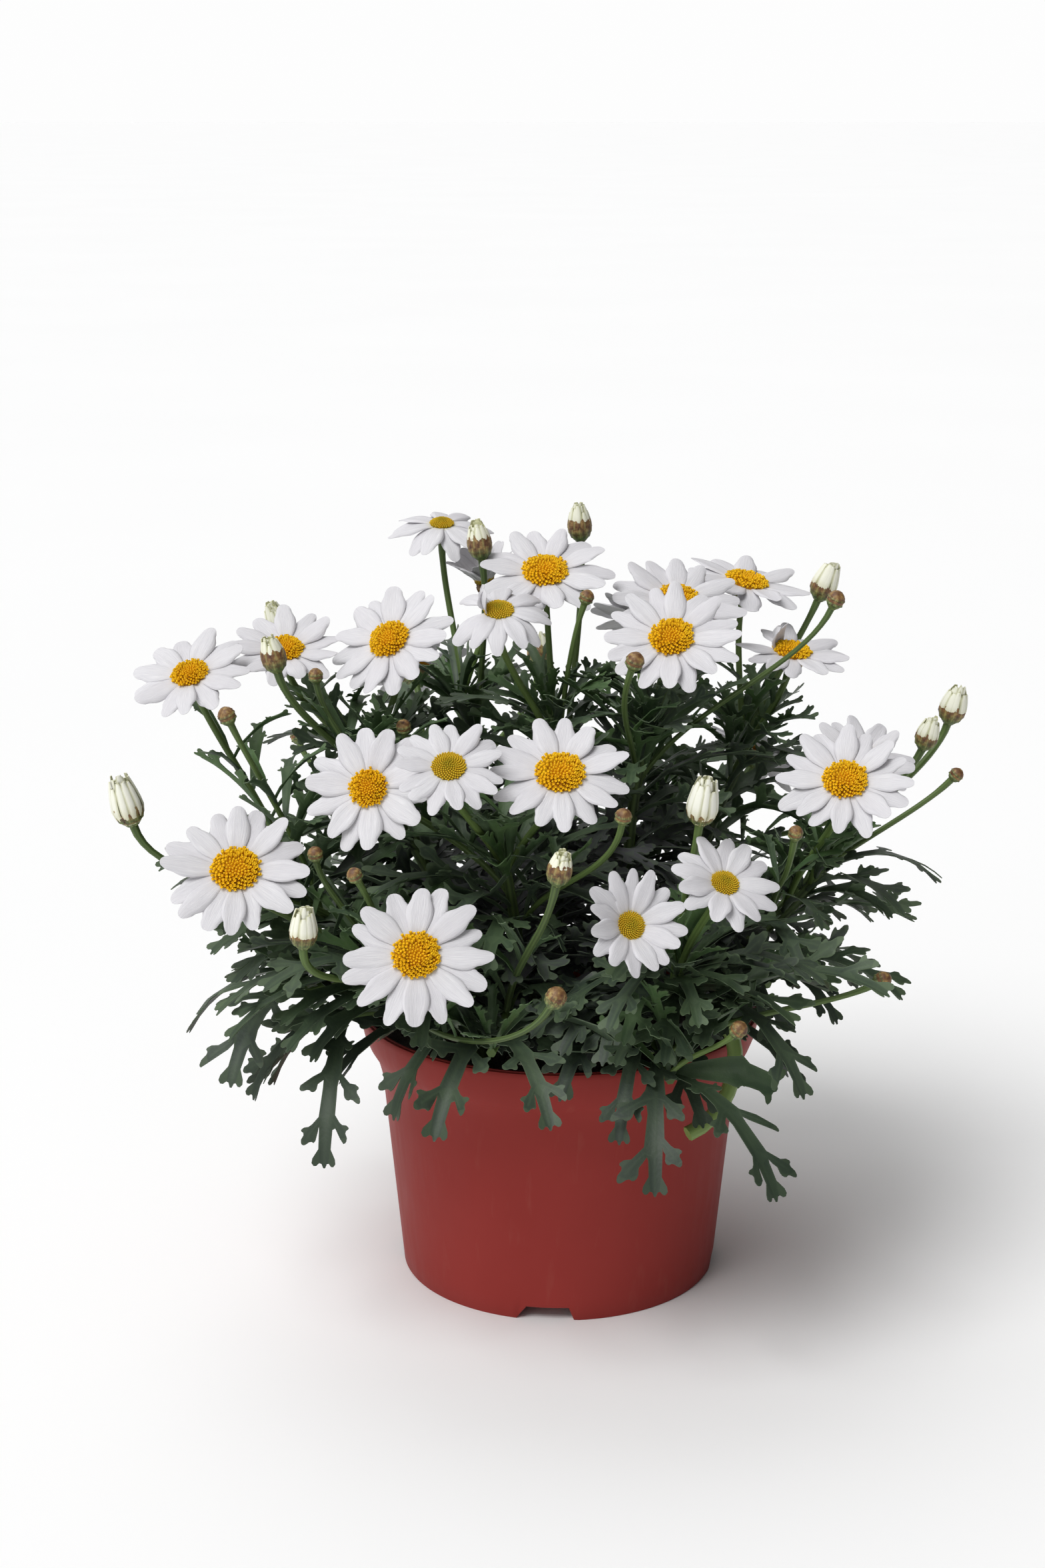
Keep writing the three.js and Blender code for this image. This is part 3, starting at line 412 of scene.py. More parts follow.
class Skin:
    """The points, faces and grain of one piece, gathered part by part.
    Grain is three values a point, which the material reads: across, along and a draw of its own."""

    def __init__(self):
        self.points, self.grain, self.faces, self.finish = [], [], [], []
        self.count = 0

    def add(self, points, faces, grain, finish=0):
        self.points.append(np.asarray(points, float))
        self.grain.append(np.broadcast_to(np.asarray(grain, float), (len(points), 3)))
        for group in faces:
            group = np.asarray(group, int)
            if len(group):
                self.faces.append(group + self.count)
                self.finish.append(np.full(len(group), finish))
        self.count += len(points)

    def loft(self, rings, grain, finish=0, closed=True):
        """Faces between rings of points, with both ends closed"""
        rings = np.asarray(rings, float)
        m, n = rings.shape[:2]
        index = np.arange(m * n).reshape(m, n)
        a, b = index[:-1], index[1:]
        quads = np.stack([a, np.roll(a, -1, 1), np.roll(b, -1, 1), b], -1).reshape(-1, 4)
        ends = [index[:1, ::-1], index[-1:]] if closed else []
        self.add(rings.reshape(-1, 3), [quads, *ends], np.asarray(grain).reshape(-1, 3), finish)

    def piece(self, name, materials, slot, nodes, crease=50):
        mesh = bpy.data.meshes.new(name)
        points = np.concatenate(self.points) * MM
        loops = np.concatenate([group.ravel() for group in self.faces])
        totals = np.concatenate([np.full(len(group), group.shape[1]) for group in self.faces])
        mesh.vertices.add(len(points))
        mesh.vertices.foreach_set("co", points.ravel())
        mesh.loops.add(len(loops))
        mesh.loops.foreach_set("vertex_index", loops)
        mesh.polygons.add(len(totals))
        mesh.polygons.foreach_set("loop_start", np.cumsum(totals) - totals)
        mesh.polygons.foreach_set("loop_total", totals)
        mesh.polygons.foreach_set("material_index", np.concatenate(self.finish))
        mesh.update(calc_edges=True)
        grain = mesh.attributes.new("grain", "FLOAT_VECTOR", "POINT")
        grain.data.foreach_set("vector", np.concatenate(self.grain).ravel())
        mesh.validate()
        mesh.shade_smooth()
        mesh.set_sharp_from_angle(angle=math.radians(crease))
        obj = bpy.data.objects.new(name, mesh)
        bpy.context.scene.collection.objects.link(obj)
        for material in materials:
            mesh.materials.append(material)
        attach(obj, "root")
        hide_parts(*nodes)
        return obj


def tube_rings(places, radii, sides, ridge=0):
    """Rings round a line of places, turned as little as can be from one to the next"""
    places = np.asarray(places, float)
    along = np.gradient(places, axis=0)
    along /= np.linalg.norm(along, axis=1)[:, None]
    turn = 2 * math.pi * np.arange(sides) / sides
    swell = 1 + ridge * np.cos(turn * sides / 2)
    side = across(along[0])[0]
    rings = []
    for place, forward, radius in zip(places, along, np.broadcast_to(radii, len(places))):
        side = unit(side - forward * (side @ forward))
        other = np.cross(forward, side)
        wide = radius * swell
        rings.append(place + np.outer(wide * np.cos(turn), side) + np.outer(wide * np.sin(turn), other))
    return np.array(rings)


def tube_grain(count, sides, draw):
    grain = np.zeros((count, sides, 3))
    grain[..., 0] = np.abs(np.cos(math.pi * np.arange(sides) / 2))
    grain[..., 1] = np.linspace(0, 1, count)[:, None]
    grain[..., 2] = draw
    return grain


# Materials
def new_material(name, roughness, **sockets):
    material = bpy.data.materials.new(name)
    material.use_nodes = True
    shader = material.node_tree.nodes["Principled BSDF"]
    shader.inputs["Roughness"].default_value = roughness
    for socket, value in sockets.items():
        shader.inputs[socket.replace("_", " ")].default_value = value
    return material, material.node_tree, shader


def add_node(tree, kind, inputs=(), **settings):
    node = tree.nodes.new(kind)
    for key, value in settings.items():
        setattr(node, key, value)
    for socket, value in dict(inputs).items():
        if isinstance(value, bpy.types.NodeSocket):
            tree.links.new(value, node.inputs[socket])
        else:
            node.inputs[socket].default_value = value
    return node


def colour(red, green, blue):
    """A linear colour from screen values in 0..255"""
    return (*(((v / 255 + 0.055) / 1.055) ** 2.4 for v in (red, green, blue)), 1)


def grain_values(tree):
    attribute = add_node(tree, "ShaderNodeAttribute", attribute_name="grain")
    parts = add_node(tree, "ShaderNodeSeparateXYZ", {0: attribute.outputs["Vector"]})
    return parts.outputs


def blend_colours(tree, factor, first, second):
    node = add_node(tree, "ShaderNodeMix", data_type="RGBA")
    for socket, value in ((0, factor), (6, first), (7, second)):
        if isinstance(value, bpy.types.NodeSocket):
            tree.links.new(value, node.inputs[socket])
        else:
            node.inputs[socket].default_value = value
    return node.outputs[2]


def ramp(tree, factor, *stops):
    node = add_node(tree, "ShaderNodeValToRGB", {0: factor})
    elements = node.color_ramp.elements
    elements[0].position, elements[0].color = stops[0]
    elements[1].position, elements[1].color = stops[-1]
    for place, value in stops[1:-1]:
        elements.new(place).color = value
    return node.outputs[0]


def grey(value):
    return (value, value, value, 1)


def mask(tree, factor, first, last):
    """A grey ramp between two stops, each a place and a level"""
    return ramp(tree, factor, *[(place, grey(level)) for place, level in (first, last)])


def shades(tree, factor, *stops):
    """A colour ramp between stops, each a place and screen values"""
    return ramp(tree, factor, *[(place, colour(*values)) for place, *values in stops])


def paint(tree, shader, tone):
    tree.links.new(tone, shader.inputs["Base Color"])


def noise(tree, scale, detail=4, vector=None):
    node = add_node(tree, "ShaderNodeTexNoise", {"Scale": scale, "Detail": detail})
    if vector is None:
        vector = add_node(tree, "ShaderNodeTexCoord").outputs["Object"]
    tree.links.new(vector, node.inputs["Vector"])
    return node.outputs[0]


def maths(tree, operation, first, second=0.0):
    node = add_node(tree, "ShaderNodeMath", {0: first, 1: second}, operation=operation)
    return node.outputs[0]


def bump(tree, shader, height, strength, depth):
    inputs = {"Height": height, "Strength": strength, "Distance": depth * MM}
    node = add_node(tree, "ShaderNodeBump", inputs)
    tree.links.new(node.outputs[0], shader.inputs["Normal"])


def petal_material():
    material, tree, shader = new_material("petal", 0.6, Specular_IOR_Level=0.3)
    wide, along, draw = grain_values(tree)
    streaks = {0: maths(tree, "MULTIPLY", wide, 9), 1: maths(tree, "MULTIPLY", along, 1.6), 2: draw}
    fine = add_node(tree, "ShaderNodeCombineXYZ", streaks)
    veins = noise(tree, 2.2, 3, fine.outputs[0])
    body = shades(tree, veins, (0.3, 180, 178, 186), (0.7, 222, 221, 223))
    root = shades(tree, along, (0.02, 198, 200, 132), (0.16, 222, 221, 223))
    shade = blend_colours(tree, 0.5, body, root)
    tint = blend_colours(tree, maths(tree, "MULTIPLY", draw, 0.35), shade, colour(204, 201, 206))
    paint(tree, shader, tint)
    bump(tree, shader, veins, 0.5, 0.3)
    return material


def disc_material(young):
    name = "disc_young" if young else "disc_open"
    material, tree, shader = new_material(name, 0.75, Specular_IOR_Level=0.2)
    wide, along, draw = grain_values(tree)
    # Florets are darker towards their bases and the dome under them: painted shade in the gaps between the
    # florets
    if young:
        body = shades(tree, along, (0.1, 104, 96, 20), (0.55, 196, 168, 34), (0.95, 220, 190, 52))
        centre = colour(158, 148, 34)
    else:
        body = shades(tree, along, (0.05, 150, 96, 4), (0.5, 228, 170, 12), (0.95, 252, 214, 40))
        centre = colour(230, 176, 18)
    middle = mask(tree, wide, (0.2, 0.7), (0.6, 0))
    toned = blend_colours(tree, middle, body, centre)
    varied = blend_colours(tree, maths(tree, "MULTIPLY", draw, 0.3), toned, colour(214, 148, 12))
    paint(tree, shader, varied)
    bump(tree, shader, noise(tree, 2400), 0.2, 0.1)
    return material


def leaf_material():
    material, tree, shader = new_material("leaf", 0.5, Specular_IOR_Level=0.3)
    wide, _, draw = grain_values(tree)
    patches = noise(tree, 90, 3)
    old = shades(tree, patches, (0.3, 53, 64, 56), (0.7, 75, 88, 70))
    fresh = shades(tree, patches, (0.3, 62, 90, 52), (0.7, 88, 119, 64))
    # Leaves with the lowest values, those deep in the plant, blend towards grey-violet: a painted shade tone
    # for the depths of the foliage
    painted_deep_shade = blend_colours(tree, mask(tree, draw, (0.0, 0), (0.3, 1)), colour(92, 92, 96), old)
    body = blend_colours(tree, mask(tree, draw, (0.3, 0), (1.0, 1)), painted_deep_shade, fresh)
    rib = mask(tree, wide, (0.0, 0.3), (0.35, 0))
    veined = blend_colours(tree, rib, body, colour(96, 116, 84))
    # Leaves are lighter towards their edges: a painted sheen along the rims
    edge = mask(tree, wide, (0.75, 0), (1.0, 0.45))
    edged = blend_colours(tree, edge, veined, colour(98, 116, 84))
    # Leaves below about 0.08 to 0.12 m are darkened towards a deep green: painted shade on the low, hanging
    # leaves
    place = add_node(tree, "ShaderNodeTexCoord").outputs["Object"]
    height = add_node(tree, "ShaderNodeSeparateXYZ", {0: place}).outputs["Z"]
    painted_shade_low = mask(tree, height, (0.08, 0.7), (0.12, 0))
    shaded = blend_colours(tree, painted_shade_low, edged, colour(38, 46, 40))
    paint(tree, shader, shaded)
    relief = maths(tree, "ADD", noise(tree, 900, 3), maths(tree, "MULTIPLY", rib, 0.8))
    bump(tree, shader, relief, 0.3, 0.3)
    return material


def stalk_material():
    material, tree, shader = new_material("stalk", 0.5, Specular_IOR_Level=0.3)
    wide, _, draw = grain_values(tree)
    tone = shades(tree, draw, (0.2, 52, 66, 40), (0.85, 84, 106, 52), (1.0, 120, 142, 78))
    ridged = blend_colours(tree, maths(tree, "MULTIPLY", wide, 0.5), tone, colour(110, 132, 74))
    paint(tree, shader, ridged)
    bump(tree, shader, noise(tree, 1200, 3), 0.2, 0.15)
    return material


def bract_material():
    material, tree, shader = new_material("bract", 0.55)
    wide, along, _ = grain_values(tree)
    patches = noise(tree, 700, 4)
    brown = shades(tree, patches, (0.3, 78, 44, 30), (0.5, 120, 86, 50), (0.72, 168, 140, 84))
    green = shades(tree, patches, (0.3, 66, 88, 48), (0.7, 112, 126, 70))
    foot = blend_colours(tree, mask(tree, along, (0.18, 0), (0.46, 1)), green, brown)
    vein = mask(tree, wide, (0.0, 0.55), (0.3, 0))
    veined = blend_colours(tree, vein, foot, colour(160, 158, 98))
    rim = mask(tree, wide, (0.66, 0), (0.98, 0.65))
    edged = blend_colours(tree, rim, veined, colour(64, 36, 30))
    paint(tree, shader, edged)
    bump(tree, shader, patches, 0.4, 0.25)
    return material


def folded_petal_material():
    material, tree, shader = new_material("folded_petal", 0.5)
    wide, along, draw = grain_values(tree)
    # Each folded petal is darker towards its edges, painted shade in the seams between the petals, and darker
    # and browner towards its root
    cream = shades(tree, wide, (0.1, 176, 177, 120), (0.7, 232, 232, 204))
    white = shades(tree, wide, (0.1, 200, 200, 172), (0.7, 236, 236, 226))
    body = blend_colours(tree, draw, cream, white)
    base = shades(tree, wide, (0.1, 140, 122, 74), (0.7, 212, 210, 166))
    toned = blend_colours(tree, mask(tree, along, (0.05, 0.85), (0.5, 0)), body, base)
    paint(tree, shader, toned)
    bump(tree, shader, noise(tree, 1300, 3), 0.2, 0.2)
    return material


def pot_material():
    material, tree, shader = new_material("pot_plastic", 0.5, Specular_IOR_Level=0.12)
    patches = noise(tree, 16, 4)
    body = shades(tree, patches, (0.35, 139, 48, 43), (0.68, 147, 53, 48))
    coordinates = add_node(tree, "ShaderNodeTexCoord").outputs["Object"]
    stretched = add_node(tree, "ShaderNodeMapping", {0: coordinates, "Scale": (6, 6, 1)})
    scuffs = noise(tree, 45, 9, stretched.outputs[0])
    worn = mask(tree, scuffs, (0.6, 0), (0.8, 0.16))
    scuffed = blend_colours(tree, worn, body, colour(170, 104, 92))
    paint(tree, shader, scuffed)
    gloss = mask(tree, scuffs, (0.3, 0.46), (0.8, 0.6))
    tree.links.new(gloss, shader.inputs["Roughness"])
    bump(tree, shader, noise(tree, 700, 3), 0.1, 0.12)
    return material


def soil_material():
    material, tree, shader = new_material("soil", 0.95)
    draw = grain_values(tree)[2]
    patches = noise(tree, 260, 6)
    dark = shades(tree, patches, (0.3, 22, 16, 13), (0.75, 62, 46, 36))
    varied = blend_colours(tree, maths(tree, "MULTIPLY", draw, 0.5), dark, colour(78, 58, 42))
    paint(tree, shader, varied)
    bump(tree, shader, noise(tree, 900, 6), 0.8, 0.6)
    return material


def grain_material():
    material, tree, shader = new_material("pale_grain", 0.9)
    tone = shades(tree, noise(tree, 800, 3), (0.3, 176, 170, 158), (0.7, 224, 220, 210))
    paint(tree, shader, tone)
    return material


def floor_material():
    material, tree, shader = new_material("floor", 0.9)
    tone = mask(tree, noise(tree, 2, 2), (0.3, 0.925), (0.7, 0.935))
    paint(tree, shader, tone)
    return material


# Pot
def wall_radius(height):
    return lerp(FOOT_RADIUS, WALL_TOP_RADIUS, height / WALL_TOP)


def pot_piece(material):
    steps = 9
    wall = [(wall_radius(WALL_TOP * i / steps), WALL_TOP * i / steps) for i in range(steps)]
    foot = [(FOOT_RADIUS - 0.35, 0.0), (wall_radius(0.6), 0.6)]
    lip = [(64.9, 86), (RIM_RADIUS, 87.2), (64.75, 87.85), (64.35, 88), (64.2, 87.55), (64.0, 87.55),
           (63.85, 88.25), (63.3, 88.3), (63.0, 87.9)]
    bend = [(WALL_TOP_RADIUS, WALL_TOP), (58.9, 70), *SHOULDER[:1], (61.3, 75.3), *SHOULDER[1:]]
    outer = foot + wall[1:] + bend
    inner = [(radius - WALL, height) for radius, height in reversed(outer)]
    inner[-1] = (FOOT_RADIUS - WALL - 1.2, 0.0)
    profile = np.array(outer + lip + inner)
    azimuths = 360 * np.arange(POT_SIDES) / POT_SIDES
    spacing = 360 / NOTCH_COUNT
    from_notch = (azimuths - NOTCH_FIRST_AZIMUTH + spacing / 2) % spacing - spacing / 2
    arc = np.abs(np.radians(from_notch)) * FOOT_RADIUS
    bottom = NOTCH_HEIGHT * (1 - smooth_step(NOTCH_WIDTH / 2 - 0.9, NOTCH_WIDTH / 2 + 0.3, arc))
    top_of_change = 12
    heights = profile[:, 1][:, None]
    squeeze = np.clip(1 - heights / top_of_change, 0, 1)
    lifted = heights + bottom * squeeze
    radii = profile[:, 0][:, None] + (wall_radius(lifted) - wall_radius(heights)) * (heights < top_of_change)
    turn = np.radians(azimuths)
    rings = np.stack([radii * np.sin(turn), -radii * np.cos(turn), lifted], -1)
    skin = Skin()
    count = len(profile)
    index = np.arange(count * POT_SIDES).reshape(count, POT_SIDES)
    below, above = index, np.roll(index, -1, 0)
    quads = np.stack([below, np.roll(below, -1, 1), np.roll(above, -1, 1), above], -1).reshape(-1, 4)
    skin.add(rings.reshape(-1, 3), [quads], (0, 0, 0))
    add_pot_floor(skin)
    skin.piece("pot_shell", [material], "pot", ["pot"], 40)


def add_pot_floor(skin):
    radius = wall_radius(FLOOR_HEIGHT) - WALL / 2
    outlines = [circle(0, 0, radius, 96)]
    for i in range(DRAIN_COUNT):
        turn = 2 * math.pi * i / DRAIN_COUNT
        outlines.append(circle(DRAIN_RING * -math.sin(turn), DRAIN_RING * math.cos(turn), DRAIN_RADIUS, 24))
    corners = np.concatenate(outlines)
    starts = np.cumsum([0] + [len(o) for o in outlines])
    edges = [(a + k, a + (k + 1) % (b - a)) for a, b in zip(starts[:-1], starts[1:]) for k in range(b - a)]
    flat, _, faces, *_ = delaunay_2d_cdt([Vector(c) for c in corners], edges, [], 1, 1e-5, True)
    flat = np.array([tuple(p) for p in flat])
    holes = [outline.mean(axis=0) for outline in outlines[1:]]
    middles = [flat[face].mean(axis=0) for face in faces]
    inside = DRAIN_RADIUS * 0.97
    kept = np.array([
        face for face, middle in zip(faces, middles)
        if all(math.hypot(*(middle - hole)) > inside for hole in holes)])
    count = len(flat)
    lower = np.column_stack([flat, np.full(count, FLOOR_HEIGHT)])
    upper = np.column_stack([flat, np.full(count, FLOOR_HEIGHT + FLOOR_THICKNESS)])
    walls = np.array([(a, b, b + count, a + count) for a, b in edges])
    skin.add(np.concatenate([lower, upper]), [kept[:, ::-1], kept + count, walls], (0, 0, 0))


def circle(x, y, radius, sides):
    turn = 2 * np.pi * np.arange(sides) / sides
    return np.column_stack([x + radius * np.cos(turn), y + radius * np.sin(turn)])


# Soil
def soil_piece(soil, pale):
    rng = np.random.default_rng(5)
    skin = Skin()
    sides, top_radius = 96, (SHOULDER[1][0] - WALL) - 0.6
    profile = [(47.5, 7.6), (49, 20), (52, 45), (55.3, 65), (top_radius - 1, 72), (top_radius, 76.4)]
    profile += [(top_radius * (1 - (i / 14) ** 1.1), SOIL_TOP - 0.2) for i in range(1, 14)]
    turn = 2 * np.pi * np.arange(sides) / sides
    rings, grain = [], []
    for radius, height in profile:
        lump = rng.normal(0, 0.35, sides) if height > 70 else np.zeros(sides)
        wave = 0.8 * np.sin(3 * turn + radius * 0.2) * (height > 74)
        rings.append(np.column_stack([circle(0, 0, radius, sides), height + lump + wave]))
        grain.append(np.column_stack([np.zeros(sides), np.zeros(sides), rng.random(sides) * 0.4]))
    skin.loft(rings, grain)
    for i in range(CRUMBS + PALE_GRAINS):
        is_pale = i >= CRUMBS
        radius = top_radius * math.sqrt(rng.random()) * 0.99
        angle = 2 * math.pi * rng.random()
        size = rng.uniform(0.5, 0.9) if is_pale else rng.uniform(0.4, 1.0) ** 2 * 2.2
        place = np.array([radius * math.cos(angle), radius * math.sin(angle), SOIL_TOP + 0.25 * size])
        add_crumb(skin, place, size, rng, 1 if is_pale else 0)
    for azimuth, height in STUCK_GRAINS:
        add_crumb(skin, heading(azimuth, 0) * (top_radius + 0.4) + UP * height, 1.1, rng, 1)
    skin.piece("soil_bed", [soil, pale], "soil", ["soil"], 35)


def add_crumb(skin, place, size, rng, finish):
    rows = [(0.35, -0.8), (0.95, -0.3), (0.9, 0.35), (0.4, 0.8)]
    turn = 2 * np.pi * np.arange(6) / 6 + rng.random() * 6
    stretch = rng.uniform(0.6, 1.3, 3)
    rings = []
    for radius, height in rows:
        wobble = rng.uniform(0.75, 1.2, 6) * radius
        ring = np.column_stack([wobble * np.cos(turn), wobble * np.sin(turn), np.full(6, height * 0.8)])
        rings.append(place + ring * stretch * size * 0.6)
    skin.loft(rings, np.broadcast_to([0, 0, rng.random()], (4, 6, 3)), finish)


# Petals, on a grid of places across and along. They start under the disc, at a share of its radius.
ACROSS = np.array([-1, -0.78, -0.5, -0.2, 0.2, 0.5, 0.78, 1])
STATIONS = np.linspace(0, 1, 11)
PETAL_ROOT = 0.72


def add_petal(skin, bloom, frame_axes, turn, lift, tip, length, width, twist, sway, rng):
    """One ray: a ridged, thin blade with a notched round end, on the arc from lift to tip"""
    at, side, other, normal = frame_axes
    hub = bloom["disc"] * PETAL_ROOT
    notch = rng.uniform(0.2, 0.9)
    blunt = rng.uniform(0.13, 0.2)
    ridge = rng.uniform(0.22, 0.36)
    cup = rng.uniform(-0.3, 0.9)
    share, wide = np.meshgrid(STATIONS, ACROSS, indexing="ij")
    taper = lerp(0.5, 1, smooth_step(0, 0.5, share)) * lerp(1, 0.66, smooth_step(0.6, 1, share))
    valley = np.exp(-((np.abs(wide) - 0.34) / 0.13) ** 2)
    run = share * (1 - blunt * np.abs(wide) ** 2.6 * smooth_step(0.35, 1, share))
    run = run - notch / length * valley * smooth_step(0.8, 1, share)
    half = width / 2 * taper
    shift = wide * half
    fold = ridge * np.cos(3 * np.pi * wide) * np.sin(np.pi * np.clip(share, 0.05, 0.96)) ** 0.6
    arch = fold - cup * wide ** 2 * smooth_step(0.1, 0.6, share) * (half / 3)
    start, end = math.radians(lift), math.radians(tip)
    spot = start + (end - start) * run / 2
    slope = start + (end - start) * run
    roll = math.radians(twist) * run
    sideways = shift * np.cos(roll) - arch * np.sin(roll) + sway * run ** 2 * length
    raised = shift * np.sin(roll) + arch * np.cos(roll)
    radial = hub + length * run * np.cos(spot)
    height = length * run * np.sin(spot) + 0.1
    thick = 0.16 * np.ones_like(share)
    thick[:, [0, -1]] = 0.04
    thick[-1] = 0.05
    layers = []
    for sign in (1, -1):
        rise = raised + sign * thick
        r = radial - rise * np.sin(slope)
        h = height + rise * np.cos(slope)
        x = r * math.cos(turn) - sideways * math.sin(turn)
        y = r * math.sin(turn) + sideways * math.cos(turn)
        layers.append(at + x[..., None] * side + y[..., None] * other + h[..., None] * normal)
    rings = np.concatenate([layers[0], layers[1][:, ::-1]], axis=1)
    draw = rng.random()
    single = np.stack([wide, run, np.full_like(run, draw)], -1)
    skin.loft(rings[:, ::-1], np.concatenate([single, single[:, ::-1]], axis=1)[:, ::-1])


def rays_piece(bloom, number, material):
    rng = np.random.default_rng(100 + number)
    normal = heading(*bloom["face"])
    side, other = across(normal)
    at = np.array(bloom["at"], float)
    axes = (at, side, other, normal)
    count = bloom["rays"]
    hub = bloom["disc"] * PETAL_ROOT
    length = bloom["reach"] - hub
    skin = Skin()
    width = min(2.7 * math.pi * (hub + length * 0.55) / count, length * 0.46)
    low, high = CURLED.get(number, (0, 0))
    for i in range(count):
        level = 4 if i % 2 == 0 else -5
        is_curled = low < (360 * i / count + 90) % 360 - 90 < high
        add_petal(
            skin, bloom, axes,
            turn=2 * math.pi * (i + rng.uniform(-0.16, 0.16)) / count,
            lift=(45 if is_curled else bloom["lift"]) + level + rng.uniform(-3, 3),
            tip=(130 if is_curled else bloom["tip"]) + level + rng.uniform(-9, 9),
            length=length * rng.uniform(0.9, 1.04) * (0.55 if is_curled else 1),
            width=width * rng.uniform(0.88, 1.08),
            twist=rng.uniform(-16, 16),
            sway=rng.uniform(-0.07, 0.07),
            rng=rng,
        )
    skin.piece(f"bloom_{number:02d}_petals", [material], "rays", [f"bloom_{number:02d}_rays"], 70)


# Disc: florets in a spiral on a dome
def floret(sides, rows):
    """A floret's rings. Each row is a radius, the same all round or one for each side, and a height"""
    return np.array([np.column_stack([circle(0, 0, r, sides), np.full(sides, h)]) for r, h in rows])


STAR = np.where(np.arange(10) % 2 == 0, 1.2, 0.62)
CLOSED_FLORET = floret(6, [(0.85, -0.6), (0.9, 0.45), (0.4, 1.0)])
OPEN_FLORET = floret(10, [(0.5, -0.5), (STAR, 1.0), (0.28, 0.72)])


def disc_piece(bloom, number, material):
    rng = np.random.default_rng(300 + number)
    normal = heading(*bloom["face"])
    side, other = across(normal)
    radius, young = bloom["disc"], bloom["young"]
    at = np.array(bloom["at"], float) + normal * (HUB_THICKNESS / 2)
    dome = lerp(2.1, 1.5, young)
    skin = Skin()

    def surface(distance):
        share = distance / radius
        dip = 0.5 * np.exp(-(share / 0.35) ** 2) * (1 - young)
        return dome * (1 - share ** 2) - dip

    turn = 2 * np.pi * np.arange(24) / 24
    rings, grain = [], []
    for distance in np.linspace(1, 0.06, 7) * radius * 0.97:
        level = surface(distance)
        rings.append(at + np.outer(distance * np.cos(turn), side) + np.outer(distance * np.sin(turn), other)
                     + normal * level)
        # The dome under the florets takes the dark base colour, painted shade between them
        grain.append(np.broadcast_to([distance / radius, 0.1, 0.5], (24, 3)))
    skin.loft([rings[0] - normal * 0.9] + rings, [grain[0]] + grain)
    count = int(lerp(180, 200, young))
    for i in range(count):
        distance = radius * math.sqrt((i + 0.5) / count)
        angle = math.radians(i * GOLDEN_ANGLE)
        out = math.cos(angle) * side + math.sin(angle) * other
        share = distance / radius
        lean = share * lerp(0.95, 0.6, young)
        axis = unit(normal + out * lean + (side * rng.normal() + other * rng.normal()) * 0.1 * (1 - young))
        east, north = across(axis)
        is_open = share > 0.42 and rng.random() < (1 - young) * 0.85
        shape = OPEN_FLORET if is_open else CLOSED_FLORET
        size = radius / math.sqrt(count) * lerp(0.95, 0.98, young)
        tall = (rng.uniform(1.0, 1.75) if is_open else rng.uniform(0.8, 1.0)) * lerp(1, 0.7, young)
        base = at + out * distance * 0.97 + normal * surface(distance)
        points = base + shape[..., :1] * size * east + shape[..., 1:2] * size * north
        points = points + shape[..., 2:] * tall * axis
        values = np.empty(shape.shape)
        values[..., 0] = share
        # Height up the floret, which the disc material darkens towards the base as painted shade between
        # florets
        values[..., 1] = np.clip(shape[..., 2] * 0.7 + 0.3, 0, 1)
        values[..., 2] = rng.random()
        skin.loft(points, values)
    skin.piece(f"bloom_{number:02d}_florets", [material], "disc", [f"bloom_{number:02d}_disc"], 45)


# Bracts and buds. A ring of folded petals is its share of the bud's radius, its petals and where they end.
FOLDED_RINGS = [(0.1, 3, 1.02), (0.32, 6, 1.04), (0.58, 8, 1.04), (0.86, 11, 0.98)]
FOLDED_MARKS = [(-1, 0), (-0.5, 0.35), (0, 0.45), (0.5, 0.35), (1, 0), (0, -0.3)]

# The cup under a bloom, as heights and shares of the disc's radius, and its rows of scales, each with its
# height, its share of the radius and how long the scales are
CUP_RINGS = [(0.7, 0.36), (1.7, 0.66), (3.3, 0.82), (CUP_DEPTH, 0.86)]
CUP_SCALES = [(0.4, 0.38, 2.6), (1.3, 0.6, 3.1), (2.4, 0.76, 3.4)]


def round_axis(axes, turn):
    """The direction out from an axis at a turn round it, and the direction round it there"""
    side, other = axes
    return math.cos(turn) * side + math.sin(turn) * other, -math.sin(turn) * side + math.cos(turn) * other


def section(middle, out, round_, half, marks):
    """A ring across a scale or petal. A mark is a share of half, sideways, and mm outwards"""
    return [middle + round_ * half * share + out * rise for share, rise in marks]


def add_bract(skin, foot, normal, axes, turn, height, radius, long, wide, lean, draw, finish):
    """A scale that lies on a cup: a thick pointed tongue, leaning out by lean"""
    out, round_ = round_axis(axes, turn)
    along = unit(normal + out * lean)
    outward = unit(out - along * (out @ along))
    rows = [(0.0, 0.8, 0.1), (0.35, 1.0, 0.3), (0.7, 0.78, 0.32), (1.0, 0.22, 0.12)]
    rings, grain = [], []
    for share, width, thick in rows:
        middle = foot + normal * height + out * radius + along * long * share
        shoulder = thick * 0.8
        marks = [(-1, -0.1), (-0.55, shoulder), (0, thick), (0.55, shoulder), (1, -0.1), (0, -0.35)]
        rings.append(section(middle, outward, round_, wide / 2 * width, marks))
        level = height / CUP_DEPTH * 0.45 + share * 0.55
        grain.append([(w, level, draw) for w in (1, 0.6, 0, 0.6, 1, 0)])
    skin.loft(np.array(rings)[:, ::-1], np.array(grain)[:, ::-1], finish)


